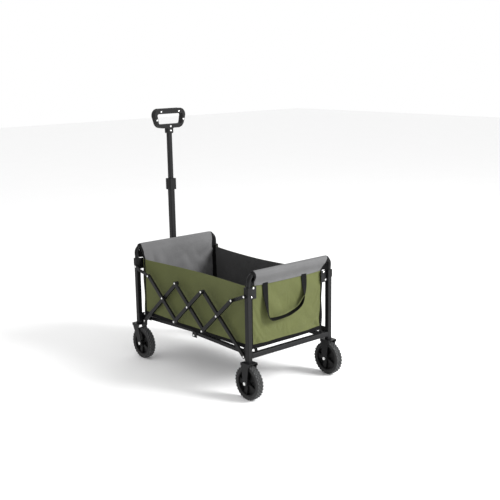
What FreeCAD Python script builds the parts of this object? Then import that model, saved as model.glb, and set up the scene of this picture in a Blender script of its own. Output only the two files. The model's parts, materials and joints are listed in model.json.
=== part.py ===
import FreeCAD, Part
import Sketcher
import math
import os

# Folding camp wagon. Millimetres. +X points forward to the pull handle, +Y to the left, +Z up.
# The origin is on the floor under the middle of the unfolded wagon.
# The frame is a front arch and a rear arch joined on each side by a three-cell scissor of six struts.
# Strut layers are counted outwards from the bag: 1 is the inner one, 3 the outer one.

doc = FreeCAD.newDocument("camp_wagon")
sheet = doc.addObject("Spreadsheet::Sheet", "sizes")

DIMENSIONS = [
    # alias, value
    ("forward_shift", 10.8),
    ("post_spread", 237.0),
    ("post_side", 22.0),
    ("tube_wall", 1.3),
    ("tube_corner", 3.0),
    ("post_bottom", 162.0),
    ("front_post_bottom", 170.0),
    ("post_top", 467.0),
    ("cross_tube_height", 189.0),
    ("arch_radius", 9.5),
    ("arch_bend", 34.0),
    ("arch_start", 468.0),
    ("arch_height", 540.0),
    ("arch_lean", 6.8),
    ("cap_side", 26.0),
    ("cap_low", 451.0),
    ("cap_high", 484.0),
    ("open_angle", 41.13),
    ("strut_half", 135.4),
    ("strut_offset", 83.7),
    ("joint_inset", 29.7),
    ("joint_height", 180.0),
    ("strut_width", 16.0),
    ("strut_depth", 9.4),
    ("strut_wall", 1.3),
    ("layer_pitch", 10.9),
    ("layer_shift", 1.0),
    ("pivot_radius", 3.0),
    ("pivot_play", 0.05),
    ("closing_play", 0.5),
    ("head_radius", 4.8),
    ("head_height", 2.4),
    ("tail_radius", 4.2),
    ("tail_height", 1.0),
    ("link_inset", 22.0),
    ("link_height", 266.4),
    ("link_width", 15.0),
    ("link_thick", 4.0),
    ("link_plane", 14.6),
    ("front_link_end", 6.2),
    ("rear_link_end", 2.6),
    ("jog_start", 34.0),
    ("jog_end", 58.0),
    ("floor_inset", 32.0),
    ("floor_height", 186.0),
    ("floor_rise", 2.0),
    ("floor_tube", 17.0),
    ("front_bar_spread", 187.0),
    ("rear_bar_spread", 207.0),
    ("bracket_plate", 2.6),
    ("bracket_below", 10.0),
    ("bracket_above", 38.0),
    ("bracket_edge", 9.0),
    ("bracket_rivet", 31.0),
    ("bag_plate_wide", 32.0),
    ("bag_plate_tall", 52.0),
    ("washer_radius", 4.2),
    ("ear_long", 30.0),
    ("ear_thick", 3.0),
    ("ear_tall", 26.0),
    ("ear_offset", 6.0),
    ("bag_low", 211.0),
    ("bag_top", 476.0),
    ("bag_spread", 217.0),
    ("bag_end_spread", 198.0),
    ("bag_chamfer", 22.0),
    ("cloth", 3.0),
    ("sleeve_half", 200.0),
    ("sleeve_gap", 0.6),
    ("mat_thick", 6.0),
    ("mat_inset", 12.0),
    ("mat_groove", 3.0),
    ("strap_width", 30.0),
    ("strap_thick", 2.0),
    ("strap_left", 135.0),
    ("strap_right", -91.0),
    ("strap_low", 308.0),
    ("strap_high", 484.0),
    ("strap_corner", 45.0),
    ("wheel_radius", 75.0),
    ("tyre_width", 33.0),
    ("tyre_round", 7.0),
    ("rim_radius", 57.0),
    ("rim_wall", 5.0),
    ("rim_width", 29.0),
    ("hub_radius", 14.0),
    ("hub_length", 43.0),
    ("spoke_thick", 8.0),
    ("spoke_root", 5.0),
    ("spoke_tip", 12.0),
    ("spoke_total", 5.0),
    ("axle_radius", 5.0),
    ("nut_radius", 7.5),
    ("nut_height", 4.0),
    ("fork_width", 50.0),
    ("fork_sheet", 3.0),
    ("fork_plate", 54.0),
    ("fork_top", 42.0),
    ("fork_foot", 13.0),
    ("caster_trail", 30.3),
    ("stem_radius", 8.0),
    ("bearing_radius", 18.0),
    ("bearing_gap", 0.3),
    ("pole_forward", 29.0),
    ("pole_height", 189.0),
    ("pole_lean", 0.42),
    ("pole_side", 25.0),
    ("pole_foot", 9.0),
    ("pole_top", 597.0),
    ("collar_side", 38.0),
    ("collar_height", 53.0),
    ("collar_seat", 18.0),
    ("slider_side", 20.5),
    ("slider_low", 372.0),
    ("slider_top", 875.0),
    ("grip_low", 893.0),
    ("grip_high", 986.0),
    ("grip_top_half", 101.0),
    ("grip_bottom_half", 71.0),
    ("grip_thick", 30.0),
    ("grip_top_bar", 25.0),
    ("grip_bottom_bar", 19.0),
    ("window_top_half", 76.0),
    ("window_low_half", 67.0),
    ("window_round", 8.0),
    ("neck_half", 14.0),
    ("neck_height", 25.0),
    ("button_radius", 8.0),
    ("button_travel", 3.0),
]
for row, (alias, value) in enumerate(DIMENSIONS, start=1):
    sheet.set(f"A{row}", alias)
    sheet.set(f"B{row}", str(value))
    sheet.setAlias(f"B{row}", alias)
doc.recompute()


def value(alias):
    """A driving dimension as a number."""
    return float(sheet.get(alias))


def dims(*aliases):
    """The cells' names inside a formula."""
    return [f"sizes.{alias}" for alias in aliases]


# Formulas that several sub-parts share.
OPEN = "sizes.open_angle * 1 deg"
RUN = f"cos({OPEN})"
RISE = f"sin({OPEN})"
HALF_BASE = f"((3 * sizes.strut_half + sizes.strut_offset) * {RUN} + sizes.joint_inset)"
FRONT_X = f"({HALF_BASE} + sizes.forward_shift)"
REAR_X = f"(sizes.forward_shift - {HALF_BASE})"
SPREAD = "sizes.post_spread"
POST_FACE = "(sizes.post_spread + sizes.post_side / 2)"

SIDEWAYS = FreeCAD.Rotation(FreeCAD.Vector(1, 0, 0), -90)
FORWARDS = FreeCAD.Rotation(FreeCAD.Vector(0, 1, 0), 90)
UPRIGHT = FreeCAD.Rotation()


def bind(item, **formulas):
    """Ties properties to formulas. A double underscore in a key stands for a dot."""
    for key, formula in formulas.items():
        item.setExpression(key.replace("__", "."), str(formula))
    return item


def place(item, x="0", y="0", z="0", turn=None):
    """Puts an object at formulas for its origin, after an optional fixed turn."""
    if turn is not None:
        item.Placement = FreeCAD.Placement(FreeCAD.Vector(), turn)
    return bind(item, Placement__Base__x=x, Placement__Base__y=y, Placement__Base__z=z)


def lean(item, angle):
    """Turns an object about +Y by a formula, about its own origin."""
    item.Placement.Rotation = FreeCAD.Rotation(FreeCAD.Vector(0, 1, 0), 1)
    return bind(item, Placement__Rotation__Angle=angle)


def box(name, size, centre):
    """A box of three formulas for its size, about a centre."""
    item = doc.addObject("Part::Box", name)
    bind(item, Length=size[0], Width=size[1], Height=size[2])
    corner = [f"{c} - ({s}) / 2" for c, s in zip(centre, size)]
    return place(item, *corner)


def rod(name, radius, length, start, turn=UPRIGHT):
    """A cylinder from a start point along +Z, or along the turned +Z."""
    item = doc.addObject("Part::Cylinder", name)
    bind(item, Radius=radius, Height=length)
    return place(item, *start, turn=turn)


def dome(name, start, turn):
    """A rivet's domed head, its flat side on the start point."""
    item = doc.addObject("Part::Sphere", name)
    radius, height = dims("head_radius", "head_height")
    ball = f"({radius}^2 + {height}^2) / (2 * {height})"
    bind(item, Radius=ball, Angle1=f"asin(1 - {height} / ({ball}))")
    sink = f"({ball} - {height})"
    axis = turn.multVec(FreeCAD.Vector(0, 0, 1))
    moved = [f"{s} - ({round(a)}) * {sink}" for s, a in zip(start, axis)]
    return place(item, *moved, turn=turn)


def fuse(name, *parts):
    item = doc.addObject("Part::MultiFuse", name)
    item.Shapes = list(parts)
    item.Refine = True
    return item


def cut(name, base, *tools):
    item = doc.addObject("Part::Cut", name)
    item.Base = base
    item.Tool = tools[0] if len(tools) == 1 else fuse(name + "_tools", *tools)
    return item


def group(name, *parts):
    """Separate solids that share one node."""
    item = doc.addObject("Part::Compound", name)
    item.Links = list(parts)
    return item


def mirrored(source):
    """The same piece on the other side of the wagon."""
    item = doc.addObject("Part::Mirroring", source.Name + "_mirrored")
    item.Source = source
    item.Normal = FreeCAD.Vector(0, 1, 0)
    return item


def pair(name, *halves):
    """Left pieces and their mirror images as one node."""
    parts = list(halves) + [mirrored(half) for half in halves]
    return group(name, *parts)


def edges_along(shape, direction, keep=lambda point: True):
    """Numbers of the straight edges along a direction whose middle passes a test."""
    found = []
    for number, edge in enumerate(shape.Edges, start=1):
        if edge.Curve.TypeId != "Part::GeomLine":
            continue
        run = edge.Vertexes[-1].Point.sub(edge.Vertexes[0].Point)
        if run.cross(direction).Length < 1e-6 * run.Length and keep(edge.CenterOfMass):
            found.append(number)
    return found


def rounded(name, base, radius, direction, keep=lambda point: True):
    """Fillets a solid's edges along a direction."""
    doc.recompute()
    item = doc.addObject("Part::Fillet", name)
    item.Base = base
    item.Edges = [(number, radius, radius) for number in edges_along(base.Shape, direction, keep)]
    return item


AXES = {"X": FreeCAD.Vector(1, 0, 0), "Y": FreeCAD.Vector(0, 1, 0), "Z": FreeCAD.Vector(0, 0, 1)}


def square_tube(name, side, length, centre, axis):
    """A square tube with rounded corners, open at both ends, along X, Y or Z."""
    order = "XYZ".index(axis)
    outside = [side] * 3
    outside[order] = length
    inside = [f"({side} - 2 * sizes.tube_wall)"] * 3
    inside[order] = f"({length} + 2)"
    block = box(name + "_box", outside, centre)
    outer = rounded(name + "_outer", block, value("tube_corner"), AXES[axis])
    return cut(name, outer, box(name + "_bore", inside, centre))


def plane_of(body, role):
    return next(item for item in body.Origin.OriginFeatures if item.Role == role)


def sketch_on(body, role, name):
    """An empty sketch on one of the body's own origin planes."""
    sketch = body.newObject("Sketcher::SketchObject", name)
    sketch.AttachmentSupport = (plane_of(body, role), [""])
    sketch.MapMode = "FlatFace"
    return sketch


def dimension(sketch, kind, places, start, formula):
    """Adds a driving constraint and ties it to a formula."""
    number = sketch.addConstraint(Sketcher.Constraint(kind, *places, start))
    sketch.setExpression(f"Constraints[{number}]", formula)


def polygon(body, role, name, corners):
    """A closed sketch through corners given as pairs of formulas."""
    sketch = sketch_on(body, role, name)
    total = len(corners)
    points = [FreeCAD.Vector(*[formula_value(c) for c in corner], 0) for corner in corners]
    for index in range(total):
        sketch.addGeometry(Part.LineSegment(points[index], points[(index + 1) % total]))
    for index in range(total):
        sketch.addConstraint(Sketcher.Constraint("Coincident", index, 2, (index + 1) % total, 1))
    for index, corner in enumerate(corners):
        dimension(sketch, "DistanceX", (-1, 1, index, 1), points[index].x, corner[0])
        dimension(sketch, "DistanceY", (-1, 1, index, 1), points[index].y, corner[1])
    return sketch


def circles(body, role, name, rings):
    """Circles on the sketch's X axis, each given as formulas for its place and radius."""
    sketch = sketch_on(body, role, name)
    for index, (along, radius) in enumerate(rings):
        centre = FreeCAD.Vector(formula_value(along), 0, 0)
        sketch.addGeometry(Part.Circle(centre, FreeCAD.Vector(0, 0, 1), formula_value(radius)))
        dimension(sketch, "DistanceX", (-1, 1, index, 3), centre.x, along)
        sketch.addConstraint(Sketcher.Constraint("PointOnObject", index, 3, -1))
        dimension(sketch, "Radius", (index,), formula_value(radius), radius)
    return sketch


def formula_value(formula):
    """A formula's number, for a sketch's first drawing."""
    found = sheet.evalExpression(formula)
    return float(getattr(found, "Value", found))


def pad(body, sketch, length):
    item = body.newObject("PartDesign::Pad", sketch.Name + "_pad")
    item.Profile = sketch
    item.SideType = "Symmetric"
    bind(item, Length=length)
    return item


def pocket(body, sketch, length):
    item = body.newObject("PartDesign::Pocket", sketch.Name + "_pocket")
    item.Profile = sketch
    item.SideType = "Symmetric"
    bind(item, Length=length)
    return item


# Frame of the wagon ------------------------------------------------------------------------------

def posts(end, x, bottom):
    """The two upright posts of one end."""
    height = f"(sizes.post_top - {bottom})"
    middle = f"{bottom} + {height} / 2"
    post = square_tube(f"{end}_post", "sizes.post_side", height, (x, SPREAD, middle), "Z")
    return pair(f"{end}_posts", post)


def cross_tube(end, x):
    """The tube that joins the feet of the two posts."""
    length = "(2 * sizes.post_spread - sizes.post_side)"
    centre = (x, "0", "sizes.cross_tube_height")
    return square_tube(f"{end}_cross_tube", "sizes.post_side", length, centre, "Y")


def half_arch(name, radius):
    """The left half of an arch: a run up, a quarter bend and a run to the middle."""
    straight = "(sizes.arch_height - sizes.arch_bend - sizes.arch_start)"
    rise = rod(name + "_rise", radius, straight, ("0", SPREAD, "0"))
    bend = doc.addObject("Part::Torus", name + "_bend")
    bind(bend, Radius1="sizes.arch_bend", Radius2=radius)
    bend.Angle3 = 90
    place(bend, "0", f"{SPREAD} - sizes.arch_bend", straight, FreeCAD.Rotation(FreeCAD.Vector(0, 1, 0), -90))
    top = f"{straight} + sizes.arch_bend"
    across = rod(name + "_across", radius, f"{SPREAD} - sizes.arch_bend", ("0", "0", top), SIDEWAYS)
    return fuse(name, rise, bend, across)


def arch_tube(end, x, outward):
    """The round tube that carries the bag's end, leaning out a little at its top."""
    outer = half_arch(f"{end}_arch_outer", "sizes.arch_radius")
    inner = half_arch(f"{end}_arch_inner", "(sizes.arch_radius - sizes.tube_wall)")
    skin = fuse(f"{end}_arch_skin", outer, mirrored(outer))
    bore = fuse(f"{end}_arch_bore", inner, mirrored(inner))
    tube = cut(f"{end}_arch_tube", skin, bore)
    place(tube, x, "0", "sizes.arch_start")
    return lean(tube, f"{outward} * atan(sizes.arch_lean / (sizes.arch_height - sizes.arch_start))")


def post_caps(end, x, outward):
    """Moulded corner caps over the post tops, which hold the arch tube's feet."""
    low, high = dims("cap_low", "cap_high")
    size = ("sizes.cap_side", "sizes.cap_side", f"({high} - {low})")
    block = box(f"{end}_cap_block", size, (x, SPREAD, f"({low} + {high}) / 2"))
    block = rounded(f"{end}_cap_rounded", block, 3.0, AXES["Z"])
    recess = "(sizes.post_side + 0.2)"
    seat = box(f"{end}_cap_seat", (recess, recess, "60"), (x, SPREAD, "sizes.post_top + 0.2 - 30"))
    hole = rod(f"{end}_cap_hole", "sizes.arch_radius + 0.15", "60", (x, SPREAD, "sizes.arch_start - 1"))
    lean(hole, f"{outward} * atan(sizes.arch_lean / (sizes.arch_height - sizes.arch_start))")
    return pair(f"{end}_post_caps", cut(f"{end}_cap", block, seat, hole))


def corner_brackets(end, x, outward, plate_y):
    """Angle plates on the posts' inner faces, which carry the scissor's end pivot."""
    thick = "sizes.bracket_plate"
    inset = "sizes.joint_inset"
    low, high = "(sizes.joint_height - sizes.bracket_below)", "(sizes.joint_height + sizes.bracket_above)"
    tall = f"({high} - {low})"
    middle = f"({low} + {high}) / 2"
    reach = f"({inset} + sizes.bracket_edge - sizes.post_side / 2)"
    wing_x = f"{x} - {outward} * (sizes.post_side / 2 + {reach} / 2)"
    wing = box(f"{end}_bracket_wing", (reach, thick, tall), (wing_x, plate_y, middle))
    foot_wide = f"({POST_FACE} - {plate_y} + {thick} / 2)"
    foot_x = f"{x} - {outward} * (sizes.post_side / 2 + {thick} / 2)"
    foot_y = f"{POST_FACE} - {foot_wide} / 2"
    foot = box(f"{end}_bracket_foot", (thick, foot_wide, tall), (foot_x, foot_y, middle))
    plate = fuse(f"{end}_bracket", wing, foot)
    start = (f"{x} - {outward} * {inset}", f"{plate_y} - 10", "sizes.joint_height")
    hole = rod(f"{end}_bracket_hole", "sizes.pivot_radius + sizes.pivot_play", "20", start, SIDEWAYS)
    return cut(f"{end}_bracket_bored", plate, hole)


# Rivets ------------------------------------------------------------------------------------------

def layer(number):
    """The middle of a strut layer, sideways."""
    return f"({SPREAD} + sizes.layer_shift + sizes.layer_pitch * ({number} - 2))"


def layer_in(number):
    return f"({layer(number)} - sizes.strut_depth / 2)"


def layer_out(number):
    return f"({layer(number)} + sizes.strut_depth / 2)"


def rivet(name, x, z, inner, outer, tail=True):
    """A sideways rivet from its inner face to its outer face, with a domed head outside."""
    length = f"({outer} - {inner})"
    parts = [rod(name + "_shank", "sizes.pivot_radius", length, (x, inner, z), SIDEWAYS)]
    parts.append(dome(name + "_head", (x, outer, z), SIDEWAYS))
    if tail:
        start = (x, f"{inner} - sizes.tail_height", z)
        parts.append(rod(name + "_tail", "sizes.tail_radius", "sizes.tail_height", start, SIDEWAYS))
    return fuse(name, *parts)


# Scissor -----------------------------------------------------------------------------------------

def joint_at(offsets, halves, high):
    """A lattice joint: how far behind the front pivot, and how high above it, as formulas."""
    back = f"(({halves} * sizes.strut_half + {offsets} * sizes.strut_offset) * {RUN})"
    up = f"(({high[0]} * sizes.strut_half + {high[1]} * sizes.strut_offset) * {RISE})"
    return f"({FRONT_X} - sizes.joint_inset - {back})", f"(sizes.joint_height + {up})"


JOINTS = {
    # name: (offsets, halves, (halves up, offsets up))
    "P2": joint_at(1, 0, (2, 1)),
    "P3": joint_at(1, 1, (1, 1)),
    "P4": joint_at(0, 0, (0, 0)),
    "P5": joint_at(1, 2, (2, 1)),
    "P6": joint_at(1, 3, (1, 1)),
    "P7": joint_at(1, 2, (0, 1)),
    "P8": joint_at(1, 4, (2, 1)),
    "P9": joint_at(1, 5, (1, 1)),
    "P10": joint_at(1, 4, (0, 1)),
    "P11": joint_at(1, 6, (2, 1)),
    "P13": joint_at(2, 6, (0, 0)),
}
LONG = "(2 * sizes.strut_half + sizes.strut_offset)"
SHORT = "(2 * sizes.strut_half)"
FROM_END = "(sizes.strut_half + sizes.strut_offset)"
MIDDLE = "sizes.strut_half"
SNUG = "(sizes.pivot_radius + sizes.pivot_play)"
LOOSE = "(sizes.pivot_radius + sizes.closing_play)"

STRUTS = [
    # name, start joint, length, crossing, rises rearwards, layer, hole radii from the start
    ("strut_a", "P2", SHORT, MIDDLE, False, 2, (None, SNUG, LOOSE)),
    ("strut_b", "P4", LONG, FROM_END, True, 1, (SNUG, SNUG, SNUG)),
    ("strut_c", "P5", SHORT, MIDDLE, False, 2, (SNUG, SNUG, LOOSE)),
    ("strut_d", "P7", SHORT, MIDDLE, True, 3, (SNUG, SNUG, SNUG)),
    ("strut_e", "P8", LONG, MIDDLE, False, 2, (SNUG, SNUG, SNUG)),
    ("strut_f", "P10", SHORT, MIDDLE, True, 3, (SNUG, SNUG, SNUG)),
]


def slot_sketch(body, name, length, radius):
    """A bar's outline with round ends: its first pivot is at the sketch's origin."""
    sketch = sketch_on(body, "XZ_Plane", name)
    long, round_end = formula_value(length), formula_value(radius)
    up = FreeCAD.Vector(0, round_end, 0)
    far = FreeCAD.Vector(long, 0, 0)
    normal = FreeCAD.Vector(0, 0, 1)
    sketch.addGeometry(Part.LineSegment(up, far + up))
    sketch.addGeometry(Part.LineSegment(far - up, -up))
    quarter = math.pi / 2
    sketch.addGeometry(Part.ArcOfCircle(Part.Circle(far, normal, round_end), -quarter, quarter))
    near_end = Part.Circle(FreeCAD.Vector(), normal, round_end)
    sketch.addGeometry(Part.ArcOfCircle(near_end, quarter, 3 * quarter))
    for ends in ((0, 2, 2, 2), (2, 1, 1, 1), (1, 2, 3, 2), (3, 1, 0, 1)):
        sketch.addConstraint(Sketcher.Constraint("Tangent", *ends))
    sketch.addConstraint(Sketcher.Constraint("Coincident", 3, 3, -1, 1))
    sketch.addConstraint(Sketcher.Constraint("PointOnObject", 2, 3, -1))
    dimension(sketch, "DistanceX", (-1, 1, 2, 3), long, length)
    dimension(sketch, "Radius", (3,), round_end, radius)
    return sketch


def strut(name, start, length, crossing, rises, number, holes):
    """A pair of flat-sided hollow bars, left and right, riveted at both ends and where they cross."""
    body = doc.addObject("PartDesign::Body", name + "_bar")
    pad(body, slot_sketch(body, name + "_outline", length, "sizes.strut_width / 2"), "sizes.strut_depth")
    wall = "sizes.strut_wall"
    inside = f"(sizes.strut_width / 2 - {wall})"
    ends = ("12", f"({length} - 12)")
    bore = [(ends[0], f"-{inside}"), (ends[1], f"-{inside}"), (ends[1], inside), (ends[0], inside)]
    pocket(body, polygon(body, "XZ_Plane", name + "_bore", bore), f"(sizes.strut_depth - 2 * {wall})")
    places = [("0", holes[0]), (crossing, holes[1]), (length, holes[2])]
    rings = [(along, radius) for along, radius in places if radius]
    pocket(body, circles(body, "XZ_Plane", name + "_holes", rings), "sizes.strut_depth + 2")
    x, z = JOINTS[start]
    place(body, x, layer(number), z)
    turn = f"{OPEN} - 180 deg" if rises else f"180 deg - {OPEN}"
    lean(body, turn)
    return pair(name, body)


OPEN_TURN = math.radians(value("open_angle"))
# From a link's pivot on the post to the scissor's top joint.
LINK_RUN = value("link_inset") + value("strut_offset") * math.cos(OPEN_TURN)
LINK_DROP = value("link_height") - (2 * value("strut_half") + value("strut_offset")) * math.sin(OPEN_TURN)


def link(name, end_plane):
    """A jogged flat bar from a post to the scissor's top joint, in its own length along +X."""
    half = value("link_width") / 2
    long = math.hypot(LINK_RUN, LINK_DROP)
    near, far = value("link_plane"), value(end_plane)
    thick = value("link_thick")
    start, end = value("jog_start"), value("jog_end")
    line = [(-half, near), (start, near), (end, far), (long + half, far)]
    back = [(u, y + thick) for u, y in reversed(line)]
    corners = [FreeCAD.Vector(u, y, -half) for u, y in line + back]
    strip = Part.Face(Part.makePolygon(corners + corners[:1])).extrude(FreeCAD.Vector(0, 0, 2 * half))
    across = FreeCAD.Vector(0, 1, 0)
    depth = near + thick
    outline = Part.makeBox(long, depth + 2, 2 * half, FreeCAD.Vector(0, -1, -half))
    for u in (0, long):
        outline = outline.fuse(Part.makeCylinder(half, depth + 2, FreeCAD.Vector(u, -1, 0), across))
    hole_radius = value("pivot_radius") + value("pivot_play")
    shape = strip.common(outline).removeSplitter()
    for u in (0, long):
        shape = shape.cut(Part.makeCylinder(hole_radius, depth + 2, FreeCAD.Vector(u, -1, 0), across))
    item = doc.addObject("Part::Feature", name)
    item.Shape = shape
    return item


# Soft goods --------------------------------------------------------------------------------------

def ribbon(points, thick, low, high):
    """A standing strip of even thickness along an open line of (x, y) points."""
    sides = ([], [])
    for index, (x, y) in enumerate(points):
        before = points[max(index - 1, 0)]
        after = points[min(index + 1, len(points) - 1)]
        steps = [(b[0] - a[0], b[1] - a[1]) for a, b in ((before, (x, y)), ((x, y), after)) if a != b]
        normals = [(-dy / math.hypot(dx, dy), dx / math.hypot(dx, dy)) for dx, dy in steps]
        nx = sum(n[0] for n in normals) / len(normals)
        ny = sum(n[1] for n in normals) / len(normals)
        stretch = thick / 2 / (nx * nx + ny * ny)
        sides[0].append(FreeCAD.Vector(x + nx * stretch, y + ny * stretch, low))
        sides[1].append(FreeCAD.Vector(x - nx * stretch, y - ny * stretch, low))
    outline = sides[0] + sides[1][::-1]
    face = Part.Face(Part.makePolygon(outline + outline[:1]))
    return face.extrude(FreeCAD.Vector(0, 0, high - low))


def end_panel(name, x, outward):
    """One end of the bag: its wall with folded corners, the sleeve over the arch tube and its flap."""
    cloth = value("cloth")
    arch_x = outward * value("arch_lean")
    sleeve_in = value("arch_radius") + value("sleeve_gap")
    sleeve_out = sleeve_in + cloth / 2
    wall_x = arch_x - outward * (sleeve_out - cloth / 2)
    wide, corner = value("bag_end_spread"), value("bag_spread")
    inner_x = wall_x - outward * value("bag_chamfer")
    line = [(inner_x, -corner), (wall_x, -wide), (wall_x, wide), (inner_x, corner)]
    wall = ribbon(line, cloth, value("bag_low"), value("bag_top"))
    half, top = value("sleeve_half"), value("arch_height")
    joined = [(wall_x, -half), (wall_x, half)]
    wall = wall.fuse(ribbon(joined, cloth, value("bag_top") - 1, top))
    start = FreeCAD.Vector(arch_x, -half, top)
    across = FreeCAD.Vector(0, 1, 0)
    ring = Part.makeCylinder(sleeve_out, 2 * half, start, across)
    flap_x = arch_x + outward * sleeve_out
    seam = (wall_x, value("bag_top") + 6)
    flap = [(flap_x, top), seam, (seam[0], seam[1] + 5), (flap_x - outward * cloth / 2, top)]
    corners = [FreeCAD.Vector(px, -half, pz) for px, pz in flap]
    flap_solid = Part.Face(Part.makePolygon(corners + corners[:1])).extrude(across * (2 * half))
    shape = wall.fuse([ring, flap_solid]).cut(Part.makeCylinder(sleeve_in, 2 * half, start, across))
    item = doc.addObject("Part::Feature", name)
    item.Shape = shape.removeSplitter()
    return place(item, x)


def bag_sides():
    """The long walls of the bag, which crumple as the wagon folds."""
    length = f"2 * ({HALF_BASE} - {end_depth()} - sizes.cloth)"
    tall = "(sizes.bag_top - sizes.bag_low)"
    middle = "(sizes.bag_top + sizes.bag_low) / 2"
    size = (length, "sizes.cloth", tall)
    left = box("bag_side_left", size, ("sizes.forward_shift", "sizes.bag_spread", middle))
    right = box("bag_side_right", size, ("sizes.forward_shift", "-sizes.bag_spread", middle))
    return [left, right]


def end_depth():
    """How far the end wall's folded corner stands inboard of its posts."""
    sleeve = "(sizes.arch_radius + sizes.sleeve_gap)"
    return f"({sleeve} - sizes.arch_lean + sizes.bag_chamfer)"


def bag_floor():
    length = f"2 * ({HALF_BASE} - {end_depth()} - sizes.cloth)"
    wide = "2 * (sizes.bag_spread - sizes.cloth / 2 - 0.5)"
    middle = "sizes.bag_low + sizes.cloth / 2"
    return box("bag_floor", (length, wide, "sizes.cloth"), ("sizes.forward_shift", "0", middle))


def floor_mat():
    """A folding board on the bag's floor, with grooves where it folds."""
    inset = "sizes.mat_inset"
    length = f"(2 * ({HALF_BASE} - {end_depth()} - sizes.cloth - {inset}))"
    wide = f"(2 * (sizes.bag_spread - {inset}))"
    low = "(sizes.bag_low + sizes.cloth + 0.3)"
    centre = ("sizes.forward_shift", "0", f"{low} + sizes.mat_thick / 2")
    board = rounded("mat_board", box("mat_box", (length, wide, "sizes.mat_thick"), centre), 8.0, AXES["Z"])
    grooves = []
    for index in (-1, 0, 1):
        at = (f"sizes.forward_shift + {index} * {length} / 4", "0", f"{low} + sizes.mat_thick")
        size = ("sizes.mat_groove", f"{wide} + 2", "sizes.mat_groove")
        grooves.append(box(f"mat_groove_{index + 2}", size, at))
    return cut("floor_mat", board, *grooves)


def carry_strap(x):
    """A loop of webbing hanging on the outside of the rear end."""
    left, right, low, high = dims("strap_left", "strap_right", "strap_low", "strap_high")
    wide, thick = dims("strap_width", "strap_thick")
    body = doc.addObject("PartDesign::Body", "carry_strap")
    out = f"({wide} / 2)"
    outer = [
        (f"{right} - {out}", high),
        (f"{right} - {out}", f"{low} + sizes.strap_corner"),
        (f"{right} - {out} + sizes.strap_corner", low),
        (f"{left} + {out} - sizes.strap_corner * 1.6", low),
        (f"{left} + {out}", f"{low} + sizes.strap_corner * 2"),
        (f"{left} + {out}", high),
        (f"{left} - {out}", high),
        (f"{left} - {out}", f"{low} + sizes.strap_corner * 2"),
        (f"{left} - sizes.strap_corner * 1.6", f"{low} + {out}"),
        (f"{right} + {out} + sizes.strap_corner * 0.7", f"{low} + {out}"),
        (f"{right} + {out}", f"{low} + sizes.strap_corner"),
        (f"{right} + {out}", high),
    ]
    pad(body, polygon(body, "YZ_Plane", "strap_outline", outer), thick)
    return place(body, f"{x} - {WALL_STAND} - sizes.cloth / 2 - 0.3 - {thick} / 2", "0", "0")


def bag_plates(end, x, outward):
    """Small plates that tie the bag's upper corners to the posts."""
    thick = "sizes.bracket_plate"
    middle_y = f"{SPREAD} - sizes.cap_side / 2 - 0.2 - sizes.bag_plate_wide / 2"
    size = (thick, "sizes.bag_plate_wide", "sizes.bag_plate_tall")
    return box(f"{end}_bag_plate", size, (f"{x} + ({outward}) * {PLATE_STAND}", middle_y, PLATE_HEIGHT))


WALL_STAND = "(sizes.arch_lean - sizes.arch_radius - sizes.sleeve_gap)"
PLATE_STAND = f"({WALL_STAND} + sizes.cloth / 2 + 0.3 + sizes.bracket_plate / 2)"
PLATE_HEIGHT = "(sizes.cap_low + 5.5)"


# Floor bars --------------------------------------------------------------------------------------

BAR_LENGTH = f"(({HALF_BASE} - sizes.floor_inset) / cos(sizes.floor_rise * 1 deg))"


def floor_bars(end, spread, turn, x):
    """The two bars of one floor half. They hinge on the end frame and meet the other half mid-way."""
    reach = "8"
    length = f"({BAR_LENGTH} + 2 * {reach})"
    middle = (f"{BAR_LENGTH} / 2", spread, "0")
    tube = square_tube(f"floor_{end}_tube", "sizes.floor_tube", length, middle, "X")
    start = ("0", f"{spread} - 20", "0")
    hole = rod(f"floor_{end}_hole", SNUG, "40", start, SIDEWAYS)
    bar = cut(f"floor_{end}_bar", tube, hole)
    side = "1" if end == "rear" else "-1"
    face = f"{spread} + {side} * (sizes.floor_tube / 2 + sizes.ear_thick / 2)"
    size = ("sizes.ear_long", "sizes.ear_thick", "sizes.ear_tall")
    ear = box(f"floor_{end}_ear", size, (f"{BAR_LENGTH} - 6", face, f"{EAR_SIDE[end]} * sizes.ear_offset"))
    bars = pair(f"floor_bars_{end}", fuse(f"floor_{end}_half", bar, ear))
    place(bars, x, "0", "sizes.floor_height")
    return lean(bars, turn)


# The front bars are turned over by their half turn, so their ears point the other way.
EAR_SIDE = {"front": "1", "rear": "-1"}
FRONT_TURN = "sizes.floor_rise * 1 deg - 180 deg"
REAR_TURN = "0 deg - sizes.floor_rise * 1 deg"
FRONT_BAR_X = f"({FRONT_X} - sizes.floor_inset)"
REAR_BAR_X = f"({REAR_X} + sizes.floor_inset)"


def floor_cross_tube():
    """Joins the two front bars near the middle of the wagon."""
    wide = "(2 * sizes.front_bar_spread - sizes.floor_tube)"
    centre = (f"{BAR_LENGTH} - 34", "0", "0")
    tube = square_tube("floor_cross_tube", "sizes.floor_tube", wide, centre, "Y")
    place(tube, FRONT_BAR_X, "0", "sizes.floor_height")
    return lean(tube, FRONT_TURN)


def floor_rivets(end, spread, turn, x):
    """Rivet heads on the mid hinge's ears."""
    side = 1 if end == "rear" else -1
    turned = SIDEWAYS if side == 1 else FreeCAD.Rotation(FreeCAD.Vector(1, 0, 0), 90)
    face = f"{spread} + {side} * (sizes.floor_tube / 2 + sizes.ear_thick)"
    head = dome(f"floor_{end}_rivet", (BAR_LENGTH, face, f"{EAR_SIDE[end]} * 2 * sizes.ear_offset"), turned)
    heads = pair(f"floor_hinge_rivets_{end}", head)
    place(heads, x, "0", "sizes.floor_height")
    return lean(heads, turn)


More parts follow.
